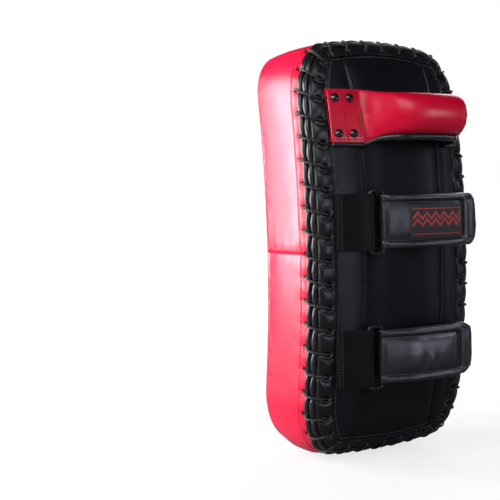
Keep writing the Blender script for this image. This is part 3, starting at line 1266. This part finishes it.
# slow dents of a stuffed bar, gathers where it is pressed flat at the neck, and a crease at the tab
sgrid = np.repeat(hx[:, None], SIDES, 1)
zgrid = hp[..., 2]
pt = np.stack([sgrid, zgrid], -1)
dent = 0.00035 * ripple(pt, 0.034, 30) + 0.00018 * ripple(pt, 0.013, 31)
neck = np.exp(-((sgrid - 0.0330) / 0.0080) ** 2) + 0.7 * np.exp(-((sgrid + 0.0530) / 0.0040) ** 2)
gather = 0.00055 * neck * ripple(np.stack([sgrid * 0.25, zgrid], -1), 0.0042, 32)
move = barness * dent + gather * outer_side
hp = hp + radial * move[..., None]
crease = 0.0017 * np.exp(-((sgrid - 0.0420 - 0.0018 * np.cos((zgrid - 0.327) / 0.016)) / 0.0012) ** 2) * outer_side
hp[..., 1] -= crease
# the tab's hem: a shallow groove inside its edges
for edge_z, sign in ((HANDLE_Z + TAB_HALF_H - 0.0032, 1), (HANDLE_Z - TAB_HALF_H + 0.0032, -1)):
    tab = (1 - smoothstep(0.0030, 0.0050, ha))[:, None]
    hp[..., 1] -= 0.00035 * tab * outer_side * np.exp(-((zgrid - edge_z) / 0.0008) ** 2)
hp[..., 1] -= 0.0004 * outer_side * np.exp(-((sgrid - 0.0603) / 0.0009) ** 2) * (sgrid > 0.045)
uvh = np.stack([sgrid, zgrid], -1)
handle = grid_object("handle_skin", hp, M["handle"], wrap_v=True, uv=uvh, cap_u=True)
outward_fix(handle)
pinh = np.repeat((1 - smoothstep(0.005, 0.012, ha))[:, None], SIDES, 1)
inflate(handle, pinh.ravel(), pressure=3.0, frames=14, cap=0.0008, stiffness=10.0)
pad_piece(handle, "handle_red_pu", "handle_cover", "handle_foam")

# black piping under the bar
pp = []
for i in range(HS):
    row = path_h[i]
    p = handle_section(row[None], np.array([-math.pi / 2]))[0]
    bar_share = float(smoothstep(0.004, 0.012, row[2]))
    r = 0.0022 + 0.0013 * bar_share
    z = p[2] - r + 0.0006
    pp.append((p[0], max(p[1], float(back_y(p[0], z)) + r + 0.0004), z, r))
pp = np.array(pp)
keep = (pp[:, 0] < 0.0745) & (pp[:, 0] > -0.0770)
pp = pp[keep]
k = np.ones(9) / 9
for c in (1, 2, 3):
    pad_c = np.concatenate([np.full(4, pp[0, c]), pp[:, c], np.full(4, pp[-1, c])])
    pp[:, c] = np.convolve(pad_c, k, "valid")
sp = path_length(pp[:, :3])
wob = ripple(np.stack([sp, sp * 0], -1), 0.008, 34)
piping = tube_object("handle_piping_skin", pp[:, :3], pp[:, 3] * (1 + 0.05 * wob), M["roll"], up=(0, 0, 1), sides=24,
                     shape=lambda i, a: 1 + 0.03 * ripple(np.stack([np.repeat(sp[i][:, None], len(a), 1), np.repeat((a * 0.002)[None], len(i), 0)], -1), 0.003, 35))
outward_fix(piping)
pad_piece(piping, "edge_roll", "handle_piping")
row = pp[:, :3] + np.column_stack([np.zeros(len(pp)), pp[:, 3] * 0.75, pp[:, 3] * 0.70])
pad_piece(stitches("handle_piping_stitching", row, np.array([0, 0.75, 0.66]), M["thread"], pitch=0.0030, length=0.0021, radius=0.00028), "edge_roll")


def on_tab(x, z):
    """A point of a tab's outer face."""
    inner = back_off(x, HANDLE_Z) + TAB_LIFT
    return np.stack([x + 0 * z, EDGE_Y + inner + 2 * TAB_HALF_T + tab_lean(x, z), z + 0 * x], -1)


def tab_row(name, x0, z0, x1, z1, pitch=0.0029):
    t = np.linspace(0, 1, 60)
    x, z = x0 + (x1 - x0) * t, z0 + (z1 - z0) * t
    p = on_tab(x, z)
    pad_piece(stitches(name, p, back_normal(x, z), M["thread_red"], pitch=pitch, length=0.0020, radius=0.00026), "handle_red_pu")


top, bot = HANDLE_Z + TAB_HALF_H - 0.0032, HANDLE_Z - TAB_HALF_H + 0.0032
tab_row("tab_stitching_right_top", 0.0728, top, 0.0445, top)
tab_row("tab_stitching_right_bottom", 0.0728, bot, 0.0445, bot)
tab_row("tab_stitching_right_edge", 0.0728, bot, 0.0728, top)
tab_row("tab_stitching_right_middle", 0.0603, bot + 0.001, 0.0603, top - 0.001)
tab_row("tab_stitching_right_neck", 0.0470, bot + 0.001, 0.0470, top - 0.001)
tab_row("tab_stitching_left_edge", -0.0755, bot, -0.0755, top)
tab_row("tab_stitching_left_bottom", -0.0755, bot, -0.0600, bot)
tab_row("tab_stitching_left_top", -0.0755, top, -0.0600, top)

# ---------------------------------------------------------------- rivets
for name in [n for n in NODES if n.startswith("rivet_") and "washer" not in n]:
    lo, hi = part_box(name)
    co = np.array([v.co for v in NODES[name].data.vertices], float)
    c = (lo + hi) / 2
    n = Vector(back_normal(float(c.x), float(c.z)).tolist()).normalized()
    along_n = co @ np.array(n)
    top_c = co[along_n > along_n.max() - 0.0016].mean(0)
    seat = top_c - np.array(n) * (along_n[along_n > along_n.max() - 0.0016].mean() - (along_n.max() - 0.0022))
    profile = [(0.0, 0.0026)]
    for a in np.linspace(0.12, 1.32, 12):
        profile.append((0.0033 * math.sin(a) ** 0.95, 0.00065 + 0.00195 * max(math.cos(a), 0) ** 0.85))
    profile += [(0.00345, 0.00075), (0.00375, 0.00070), (0.00395, 0.00055), (0.00400, 0.00030), (0.00390, 0.00005), (0.0036, -0.0001),
                (0.0018, -0.0001), (0.0018, -0.0150), (0.0, -0.0150)]
    seg = 40
    q = Vector((0, 0, 1)).rotation_difference(n).to_matrix()
    verts, fcs = [], []
    for r, h in profile:
        for j in range(seg):
            aa = 2 * math.pi * j / seg
            verts.append(q @ Vector((max(r, 1e-5) * math.cos(aa), max(r, 1e-5) * math.sin(aa), h)) + Vector(seat))
    for i in range(len(profile) - 1):
        for j in range(seg):
            j1 = (j + 1) % seg
            fcs.append((i * seg + j, i * seg + j1, (i + 1) * seg + j1, (i + 1) * seg + j))
    o = mesh_object(name + "_cap", verts, fcs, M["rivet"])
    outward_fix(o)
    pad_piece(o, "rivet_black", name)

# ---------------------------------------------------------------- straps
BAND_KEYS = [(-0.0760, 0.0), (-0.0793, 0.0168), (-0.0802, 0.0225), (-0.0780, 0.0288), (-0.0712, 0.0340), (-0.0610, 0.0368),
             (-0.0420, 0.0372), (-0.0200, 0.0350), (0.0000, 0.0308), (0.0160, 0.0252), (0.0250, 0.0211)]
FOAM_T, COVER_T, PATCH_T, FLAP_T = 0.0030, 0.0013, 0.0011, 0.0024


def along(path, distance):
    return np.asarray(path) + sideways(path) * distance


def padded(name, path, half_h, z0, front, back, mat, corner0, corner1, roll_r, seed, body, nodes, frame0=None, frame1=None, dent=None, zsteps=84,
           ends=(True, True), flat=None, tilt=0.0, pillow=None):
    """A padded strip on edge along path (x, y): rolled rims round a stitched, slightly blown centre, with rounded ends."""
    n = len(path)
    s = path_length(path)
    total = s[-1]
    nrm = sideways(path)
    vz = np.linspace(-1, 1, zsteps)
    vz = np.sign(vz) * (1 - (1 - np.abs(vz)) ** 1.5)
    S = np.repeat(s[:, None], zsteps, 1)
    Z = np.repeat((vz * half_h)[None], n, 0)
    # rounded ends: heights shrink near each rounded end
    for which, rad in ((0, corner0), (1, corner1)):
        if rad > 0:
            d = S if which == 0 else total - S
            k = np.clip(1 - d / rad, 0, 1)
            lim = half_h - rad + rad * np.sqrt(np.maximum(1 - k ** 2, 0.0))
            Z = Z * (lim / half_h)
    if pillow is not None:
        Z = Z * (1 - 0.17 * (1 - smoothstep(0.020, 0.038, S)))
    lim_now = np.abs(Z).max(1)[:, None]
    dz = lim_now - np.abs(Z)
    d0 = S if ends[0] else S * 0 + 1.0
    d1 = (total - S) if ends[1] else S * 0 + 1.0
    big = 1.0
    e0 = np.where(d0 < big, d0, big)
    d = (np.maximum(dz, 1e-6) ** -6.0 + np.maximum(e0, 1e-6) ** -6.0 + np.maximum(d1, 1e-6) ** -6.0) ** (-1 / 6.0)
    R = roll_r
    pt = np.stack([S, Z], -1)
    rim = np.sqrt(np.maximum(R ** 2 - (np.clip(d, 0, 2 * R) - R) ** 2, 0.0))
    groove = 0.0004
    centre_t = groove + front * (1 - np.exp(-np.maximum(d - 2 * R - 0.0011, 0) / 0.0052))
    T = np.where(d < R, rim, np.maximum(rim, groove))
    T = np.where(d > 2 * R, centre_t, T)
    sm = np.exp(-((d - 2 * R) / 0.0012) ** 2)
    T = T - 0.0002 * sm
    inside = smoothstep(R, 3 * R, d)
    T = T + inside * (0.00022 * ripple(pt, 0.018, seed) + 0.00012 * ripple(pt, 0.007, seed + 1))
    T = T + (1 - inside) * smoothstep(0, R, d) * 0.00030 * ripple(np.stack([S, Z * 0.3], -1), 0.0050, seed + 2)
    if dent is not None:
        T = T + dent(S, Z) * inside
    if flat is not None:
        T = T * flat(S)
    if pillow is not None:
        share = pillow(S)
        full = 0.0036 * np.sqrt(np.maximum(1 - (np.abs(Z) / lim_now) ** 4, 0.0)) + 0.0003 * ripple(pt, 0.008, seed + 3)
        T = T * (1 - share) + np.maximum(full, 0.0) * share
    TB = np.minimum(np.sqrt(np.maximum((2 * R) ** 2 - (2 * R - np.clip(d, 0, 2 * R)) ** 2, 0)) * 0.5, back)
    if flat is not None:
        TB = TB * flat(S)
    base = np.repeat(path[:, None], zsteps, 1)
    nn_ = np.repeat(nrm[:, None], zsteps, 1)
    fr = base + nn_ * T[..., None]
    bk = base - nn_ * TB[..., None]
    zt = z0 + Z + tilt * (S - total / 2)
    f3 = np.stack([fr[..., 0], fr[..., 1], zt], -1)
    b3 = np.stack([bk[..., 0], bk[..., 1], zt], -1)
    verts = np.vstack([f3.reshape(-1, 3), b3.reshape(-1, 3)])
    nf = n * zsteps
    faces = [tuple(q) for q in grid_faces(n, zsteps)] + [tuple(q) for q in grid_faces(n, zsteps, offset=nf, flip=True)]
    for i in range(n - 1):
        a, b = i * zsteps, (i + 1) * zsteps
        faces.append((b, a, nf + a, nf + b))
        a, b = a + zsteps - 1, b + zsteps - 1
        faces.append((a, b, nf + b, nf + a))
    for j in range(zsteps - 1):
        faces.append((j, j + 1, nf + j + 1, nf + j))
        o = (n - 1) * zsteps
        faces.append((o + j + 1, o + j, nf + o + j, nf + o + j + 1))
    uv = np.stack([S, Z], -1).reshape(-1, 2)
    obj = mesh_object(name, verts, faces, mat, uv=np.vstack([uv, uv]))
    bm = bmesh.new()
    bm.from_mesh(obj.data)
    bmesh.ops.remove_doubles(bm, verts=bm.verts[:], dist=1e-6)
    bmesh.ops.recalc_face_normals(bm, faces=bm.faces[:])
    bm.to_mesh(obj.data)
    bm.free()
    obj.data.shade_smooth()
    co = np.array([v.co for v in obj.data.vertices], float)
    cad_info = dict(f3=f3, nrm=nn_, S=S, Z=Z, d=d, total=total)
    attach(obj, body)
    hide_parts(*nodes)
    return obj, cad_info


def row_on(info, s, z, lift=0.0):
    """Points of a padded strip's front at given path lengths and heights from its middle."""
    f3, S, Z = info["f3"], info["S"][:, 0], info["Z"]
    out, nn_ = [], []
    for a, b in zip(s, z):
        i = np.clip(np.interp(a, S, np.arange(len(S))), 0, len(S) - 1.001)
        k = int(i)
        g = i - k
        cols = []
        for kk in (k, k + 1):
            cols.append([np.interp(b, Z[kk], f3[kk][:, c]) for c in range(3)])
        p = np.array(cols[0]) * (1 - g) + np.array(cols[1]) * g
        n2 = info["nrm"][k][0] * (1 - g) + info["nrm"][k + 1][0] * g
        nv = np.array([n2[0], n2[1], 0.0])
        out.append(p + nv * lift)
        nn_.append(nv)
    return np.array(out), np.array(nn_)


def frame_rows(name, info, s0, s1, hz, body, pitch=0.0029):
    """A stitched rectangle on a padded strip."""
    segs = [((s0, -hz), (s1, -hz)), ((s1, -hz), (s1, hz)), ((s1, hz), (s0, hz)), ((s0, hz), (s0, -hz))]
    for k, (a, b) in enumerate(segs):
        t = np.linspace(0, 1, 70)
        p, n = row_on(info, a[0] + (b[0] - a[0]) * t, a[1] + (b[1] - a[1]) * t)
        o = stitches(f"{name}_{k + 1}", p, n, M["thread"], pitch=pitch, length=0.0020, radius=0.00030, lift=0.00022)
        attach(o, body)


def y_crease(S, Z):
    """A pinched three-way crease in the lower flap's centre."""
    h = 0.0009 * np.exp(-((S - 0.0415 - 0.05 * (Z + 0.006)) / 0.0021) ** 2) * smoothstep(0.002, -0.006, Z)
    h = h - 0.0004 * np.exp(-((S - 0.0352) / 0.0034) ** 2) * np.exp(-((Z + 0.0080) / 0.0085) ** 2)
    return h - 0.0006 * np.exp(-((S - 0.0486) / 0.0036) ** 2) * np.exp(-((Z + 0.0070) / 0.0095) ** 2)


for which, (zc, bulge) in STRAPS.items():
    edge = HALF_DEPTH + bow(zc)
    strap_body, flap_body = f"{which}_strap", f"{which}_flap"
    ring_y = edge + RING_RIGHT[1]
    high = lambda x, z=zc: max(float(back_y(x, z + s * BAND_HALF_H)) for s in (-1, -0.5, 0, 0.5, 1))
    keys = []
    for x, off in BAND_KEYS:
        slack = 1.0 + (bulge - 1.0) * min(max((0.016 - x) / 0.03, 0.0), 1.0)
        keys.append((x, high(x) + 0.0030 if off == 0.0 else edge + off * slack))
    band34 = curve_through(keys, 34)
    fine = curve_through([(-0.0745, high(-0.076) - 0.0015)] + keys, 300)
    fine = fine[fine[:, 0] <= 0.0246]
    path = along(fine, 0.0006)
    band, info = padded(f"{which}_band_skin", path, BAND_HALF_H, zc, 0.0018, 0.0016, M["strap"], 0.0, 0.0, 0.0030, 40 if which == "upper" else 60,
                        strap_body, [f"{which}_strap_band", f"{which}_strap_foam"], ends=(False, True),
                        pillow=lambda S: 1 - smoothstep(0.030, 0.044, S))
    L = info["total"]
    for k, hz in enumerate((-BAND_HALF_H + 0.0064, BAND_HALF_H - 0.0064)):
        t = np.linspace(0.01, L - 0.006, 120)
        p, n = row_on(info, t, np.full(120, hz))
        o = stitches(f"{which}_band_stitching_{k + 1}", p, n, M["thread"], pitch=0.0029, length=0.0020, radius=0.00028, lift=0.0002)
        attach(o, strap_body)

    flap_line = along(band34, FOAM_T / 2 + COVER_T + PATCH_T * 2 + FLAP_T / 2 + 0.0014)
    tail = np.array([q for q in flap_line if -0.0590 <= q[0] <= 0.0150])
    bend_r = RING_BAR_R + 0.0004 + FLAP_T / 2
    turn = [(RING_RIGHT[0] + bend_r * math.cos(math.radians(d)), ring_y + bend_r * math.sin(math.radians(d))) for d in np.linspace(100, -80, 9)]
    flap_path = curve_through([tuple(q) for q in tail[::4]] + turn, 320)
    lengths = path_length(flap_path)
    soft = flap_path.copy()
    for _ in range(160):
        soft[1:-1] = (soft[:-2] + 2 * soft[1:-1] + soft[2:]) / 4
    keep = smoothstep(lengths[-1] - 0.020, lengths[-1] - 0.010, lengths)[:, None]
    flap_path = soft * (1 - keep) + flap_path * keep
    wrap_len = bend_r * math.radians(150)
    total = path_length(flap_path)[-1]

    def thin(S, total=total):
        return 1 - 0.46 * smoothstep(total - 0.042, total - 0.018, S) - 0.32 * smoothstep(total - 0.017, total - 0.010, S)

    flap, finfo = padded(f"{which}_flap_skin", along(flap_path, 0.0), BAND_HALF_H - 0.0001, zc, 0.0036, 0.0012, M["strap"], 0.0120, 0.0, 0.0034,
                         80 if which == "upper" else 100, flap_body, [f"{which}_flap"], ends=(True, False), flat=thin,
                         dent=y_crease if which == "lower" else None, tilt=0.0)
    L = finfo["total"]
    frame_rows(f"{which}_flap_stitching", finfo, 0.0076, L - 0.0150, BAND_HALF_H - 0.0074, flap_body)
    if which == "upper":
        # the woven label lies on the flap's blown centre
        n_s, n_z = 90, 44
        ls, lz = np.linspace(0.0085, 0.0085 + 0.0585, n_s), np.linspace(-0.0158, 0.0158, n_z)
        pts = np.zeros((n_s, n_z, 3))
        for i, a in enumerate(ls):
            p, n = row_on(finfo, np.full(n_z, a), lz - 0.0006)
            pts[i] = p + n * 0.00045
        k = np.ones(7) / 7
        for c in range(2):
            for j in range(n_z):
                col = np.concatenate([np.full(3, pts[0, j, c]), pts[:, j, c], np.full(3, pts[-1, j, c])])
                pts[:, j, c] = np.convolve(col, k, "valid")
            for i in range(n_s):
                col = np.concatenate([np.full(3, pts[i, 0, c]), pts[i, :, c], np.full(3, pts[i, -1, c])])
                pts[i, :, c] = np.convolve(col, k, "valid")
        a, b = np.meshgrid(ls - ls.mean(), lz, indexing="ij")
        label = grid_object("woven_label_skin", pts, M["label"], uv=np.stack([a, b], -1))
        point_outward(label, lambda c: (c.x, -1.0, c.z))
        shell(label, 0.0006, 1.0)
        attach(label, flap_body)
        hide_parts("upper_label")
        per = [(ls[1], lz[1]), (ls[-2], lz[1]), (ls[-2], lz[-2]), (ls[1], lz[-2]), (ls[1], lz[1])]
        for j, (p0, p1) in enumerate(zip(per, per[1:])):
            t = np.linspace(0, 1, 60)
            ss, zz = p0[0] + (p1[0] - p0[0]) * t, p0[1] + (p1[1] - p0[1]) * t
            fi = (ss - ls[0]) / (ls[-1] - ls[0]) * (n_s - 1)
            fj = (zz - lz[0]) / (lz[-1] - lz[0]) * (n_z - 1)
            q = []
            for u_, v_ in zip(fi, fj):
                i0, j0 = int(min(u_, n_s - 2)), int(min(v_, n_z - 2))
                q.append(pts[i0, j0] * (1 - (u_ - i0)) + pts[i0 + 1, j0] * (u_ - i0))
            q = np.array(q)
            _, nv = row_on(finfo, ss, zz)
            o = stitches(f"label_stitching_{j + 1}", q + nv * 0.0006, nv, M["thread"], pitch=0.0024, length=0.0016, radius=0.00022)
            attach(o, flap_body)

    # loop ring
    mid = (np.array(RING_LEFT) + np.array(RING_RIGHT)) / 2
    span = (np.array(RING_LEFT) - np.array(RING_RIGHT)) / 2
    reach = float(np.linalg.norm(span))
    direction = span / reach
    corner, hh = 0.0034, RING_HALF_H - 0.0008
    ring_pts = []
    for cx, cz, start in ((reach - corner, hh - corner, 0), (-(reach - corner), hh - corner, 90),
                          (-(reach - corner), -(hh - corner), 180), (reach - corner, -(hh - corner), 270)):
        for deg in np.linspace(0, 90, 9):
            a = math.radians(start + deg)
            u_, w_ = cx + corner * math.cos(a), cz + corner * math.sin(a)
            p = mid + direction * u_
            ring_pts.append((p[0], edge + p[1], zc + w_))
    dense_ring = []
    for a, b in zip(ring_pts, ring_pts[1:] + ring_pts[:1]):
        a, b = np.array(a), np.array(b)
        steps = max(int(np.linalg.norm(b - a) / 0.0008), 1)
        dense_ring += [a + (b - a) * t for t in np.linspace(0, 1, steps, endpoint=False)]
    ring = tube_object(f"{which}_ring_skin", dense_ring, RING_BAR_R + 0.0001, M["ring"], up=(0, 1, 0), sides=18, closed=True)
    outward_fix(ring)
    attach(ring, strap_body)
    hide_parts(f"{which}_loop_ring")

    # elastic web
    bar = np.array((RING_LEFT[0], edge + RING_LEFT[1]))
    flank = lambda x, z=zc: max(float(back_y(x, z + s * ELASTIC_HALF_H)) for s in (-1, -0.5, 0, 0.5, 1))
    er = RING_BAR_R + 0.0012
    run = [(0.0758, flank(0.0758) + 0.0012), (0.0700, flank(0.0700) + 0.0034), (0.0640, flank(0.0640) + 0.0038), (0.0530, flank(0.0530) + 0.0054)]
    run += [(bar[0] + er * math.cos(math.radians(d)), bar[1] + er * math.sin(math.radians(d))) for d in (80, 125, 170, 215, 260)]
    run += [(0.0530, flank(0.0530) + 0.0028), (0.0660, flank(0.0660) + 0.0013)]
    ep = curve_through(run, 620)
    es = path_length(ep)
    en = sideways(ep)
    nz = 90
    zz = np.linspace(-1, 1, nz) * ELASTIC_HALF_H
    rib = 0.00022 * np.sin(2 * np.pi * es / 0.0021)
    edge_in = np.clip((ELASTIC_HALF_H - np.abs(zz)) / 0.0010, 0, 1) ** 0.5
    side_wave = 0.0005 * ripple(np.stack([es, es * 0], -1), 0.009, 50)
    TH = 0.0007
    front_t = (TH + rib)[:, None] * edge_in[None] + 0.00012 * ripple(np.stack([np.repeat(es[:, None], nz, 1), np.repeat(zz[None], 620, 0)], -1), 0.0016, 51)
    back_t = TH * np.repeat(edge_in[None], 620, 0)
    zg = zc + np.repeat(zz[None], 620, 0) + side_wave[:, None] * (zz / ELASTIC_HALF_H)[None]
    f3 = np.stack([ep[:, None, 0] + en[:, None, 0] * front_t, ep[:, None, 1] + en[:, None, 1] * front_t, zg], -1)
    b3 = np.stack([ep[:, None, 0] - en[:, None, 0] * back_t, ep[:, None, 1] - en[:, None, 1] * back_t, zg], -1)
    nf = 620 * nz
    faces = [tuple(q) for q in grid_faces(620, nz)] + [tuple(q) for q in grid_faces(620, nz, offset=nf, flip=True)]
    for i in range(619):
        a, b = i * nz, (i + 1) * nz
        faces.append((b, a, nf + a, nf + b))
        a, b = a + nz - 1, b + nz - 1
        faces.append((a, b, nf + b, nf + a))
    for j in range(nz - 1):
        faces.append((j, j + 1, nf + j + 1, nf + j))
        o = 619 * nz
        faces.append((o + j + 1, o + j, nf + o + j, nf + o + j + 1))
    uv = np.stack([np.repeat(es[:, None], nz, 1), np.repeat(zz[None], 620, 0)], -1).reshape(-1, 2)
    web = mesh_object(f"{which}_elastic_skin", np.vstack([f3.reshape(-1, 3), b3.reshape(-1, 3)]), faces, M["elastic"], uv=np.vstack([uv, uv]))
    bm = bmesh.new()
    bm.from_mesh(web.data)
    bmesh.ops.remove_doubles(bm, verts=bm.verts[:], dist=1e-6)
    bmesh.ops.recalc_face_normals(bm, faces=bm.faces[:])
    bm.to_mesh(web.data)
    bm.free()
    web.data.shade_smooth()
    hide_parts(f"{which}_elastic_web")
    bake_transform(web)
    # box stitch at its sewn end
    for k, xx in enumerate((0.0738, 0.0712)):
        t = np.linspace(-0.024, 0.024, 40)
        y0 = np.interp(xx, ep[:60, 0][::-1], ep[:60, 1][::-1])
        p = np.column_stack([np.full(40, xx), np.full(40, y0 + 0.0010), zc + t])
        pad_piece(stitches(f"{which}_elastic_stitching_{k + 1}", p, np.array([0.2, 1.0, 0]), M["thread_dark"], pitch=0.0028, length=0.0020, radius=0.00030), "elastic_web")

# ---------------------------------------------------------------- stage, light and camera
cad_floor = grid_object("floor", np.array([[[x, y, -0.0012] for y in np.linspace(-6, 6, 13)] for x in np.linspace(-6, 6, 13)]))
fl = Nodes("floor_paper")
fl.feed("Base Color", fl.mix(fl.noise(1.2, 3.0), (0.21, 0.21, 0.213), (0.23, 0.23, 0.232)))
fl.set("Roughness", 0.8)
fl.set("Specular IOR Level", 0.1)
fl.feed("Normal", fl.bump(fl.noise(320.0), 0.05, 0.0003))
seen = fl.add("ShaderNodeLightPath")
geo = fl.add("ShaderNodeNewGeometry")
far = fl.add("ShaderNodeVectorMath", operation="LENGTH")
fl.link(geo, "Position", far, "Vector")
glow = fl.ramp(fl.math("MULTIPLY", (far, "Value"), 0.5), [(0.10, 0.76), (0.60, 1.02)])
lit = fl.add("ShaderNodeEmission")
fl.link(glow[0], "Color", lit, "Color")
both = fl.add("ShaderNodeAddShader")
fl.link(fl.bsdf, "BSDF", both, 0)
fl.link(lit, "Emission", both, 1)
pick = fl.add("ShaderNodeMixShader")
fl.link(seen, "Is Camera Ray", pick, 0)
fl.tree.links.new(fl.bsdf.outputs["BSDF"], pick.inputs[1])
fl.tree.links.new(both.outputs[0], pick.inputs[2])
fl.tree.links.new(pick.outputs[0], fl.out.inputs["Surface"])
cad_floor.data.materials.append(fl.mat)
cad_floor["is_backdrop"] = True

world = bpy.data.worlds.new("studio")
SCENE.world = world
world.use_nodes = True
wt = world.node_tree
wt.nodes.clear()
wo = wt.nodes.new("ShaderNodeOutputWorld")
lp = wt.nodes.new("ShaderNodeLightPath")
mixw = wt.nodes.new("ShaderNodeMixShader")
b_dim = wt.nodes.new("ShaderNodeBackground")
b_dim.inputs[0].default_value = (0.80, 0.84, 0.90, 1)
b_dim.inputs[1].default_value = 0.05
b_white = wt.nodes.new("ShaderNodeBackground")
b_white.inputs[0].default_value = (1, 1, 1, 1)
b_white.inputs[1].default_value = 1.0
wt.links.new(lp.outputs["Is Camera Ray"], mixw.inputs[0])
wt.links.new(b_dim.outputs[0], mixw.inputs[1])
wt.links.new(b_white.outputs[0], mixw.inputs[2])
wt.links.new(mixw.outputs[0], wo.inputs[0])

CAM_POS = Vector((0.71909, 0.92579, 0.26088))
RIGHT = Vector((-0.78139, 0.62372, -0.01976)).normalized()
FWD = Vector((-0.62217, -0.78111, -0.05268)).normalized()
UP = RIGHT.cross(FWD).normalized()


def place(obj, at, look, roll_up=Vector((0, 0, 1))):
    obj.location = at
    obj.rotation_mode = "QUATERNION"
    obj.rotation_quaternion = (Vector(look) - Vector(at)).to_track_quat("-Z", "Y")


def area(name, at, look, sx, sy, power, colour=(1, 1, 1)):
    d = bpy.data.lights.new(name, "AREA")
    d.shape = "RECTANGLE"
    d.size, d.size_y = sx, sy
    d.energy = power
    d.color = colour
    o = bpy.data.objects.new(name, d)
    SCENE.collection.objects.link(o)
    place(o, at, look)
    return o


MID = Vector((0, 0.01, 0.22))
left = -RIGHT
area("side_sheen", MID + left * 1.08 + FWD * 0.18 + Vector((0, 0, 0.200)), MID + Vector((0, 0, 0.10)), 0.55, 0.70, 18.0, (1.0, 0.92, 0.98))
area("side_low", MID + left * 1.20 - FWD * 0.72 + Vector((0, 0, 0.26)), MID + Vector((0, 0, 0.05)), 0.50, 0.90, 17.0, (1.0, 0.98, 1.0))
area("front_left", MID + Vector((0.72, 1.05, 0.78)), MID + Vector((0, 0.05, 0.05)), 0.8, 0.7, 8.5)
area("strip_back", MID + Vector((-0.40, 1.28, -0.02)), MID, 0.12, 0.85, 1.4, (0.88, 0.90, 1.16))
area("strip_far", MID + Vector((-1.15, 0.62, 0.06)), MID, 0.13, 0.85, 1.2, (0.88, 0.90, 1.16))
area("strike_side", MID + FWD * 1.5 - left * 0.3 + Vector((0, 0, 0.6)), MID, 0.8, 1.0, 10.0)


COOL = (0.88, 0.90, 1.16)


def flag(light, *names):
    """Flags in front of a light that keep it to some of the pieces."""
    only = bpy.data.collections.new(light.name + "_on")
    for n in names:
        only.objects.link(bpy.data.objects[n])
    light.light_linking.receiver_collection = only


straps = [w + k for w in ("upper", "lower") for k in ("_flap_skin", "_band_skin")]
flanks = ["flank_skin_right", "flank_skin_left", "laced_border"]
flag(area("top_soft", MID + Vector((-0.72, 0.30, 1.00)), MID, 0.60, 0.60, 1.2), "gusset_skin_upper", "gusset_skin_lower", "gusset_welt", "border_welt", "lace_cord_skin")
flag(area("bar_glow", MID + Vector((-0.36, 1.24, 0.09)), MID + Vector((0, 0.05, 0.10)), 0.50, 0.34, 3.5), "handle_skin")
flag(area("bar_top", MID + Vector((-0.72, 0.30, 1.00)), MID, 0.45, 0.45, 3.0, COOL), "handle_piping_skin", *straps)
flag(area("rim_soft", MID + Vector((-0.85, 0.82, 0.54)), MID, 0.34, 0.14, 2.0, COOL), "woven_label_skin", "handle_piping_skin", *straps)
flag(area("strap_gloss", MID + Vector((-0.42, 1.22, -0.02)), MID, 0.85, 0.50, 3.0, COOL), "woven_label_skin", *straps)
flag(area("strap_fold", MID + Vector((0.24, 1.22, 0.0)), MID, 0.15, 0.60, 1.1, COOL), "woven_label_skin", *straps)
flag(area("strip_flank", MID + Vector((0.00, 1.32, -0.02)), MID, 0.20, 0.60, 3.2, COOL), *flanks)

cam = bpy.data.cameras.new("camera")
cam.sensor_width = 36.0
cam.sensor_fit = "AUTO"
cam.lens = 84.36
cam.shift_x, cam.shift_y = -0.2339, -0.0034
cam.clip_start, cam.clip_end = 0.01, 50.0
camera = bpy.data.objects.new("camera", cam)
SCENE.collection.objects.link(camera)
m = Matrix((RIGHT, UP, -FWD)).transposed().to_4x4()
m.translation = CAM_POS
camera.matrix_world = m
SCENE.camera = camera
SCENE.view_settings.view_transform = "Standard"
SCENE.view_settings.look = "None"

bpy.context.view_layer.update()
lo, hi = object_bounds()
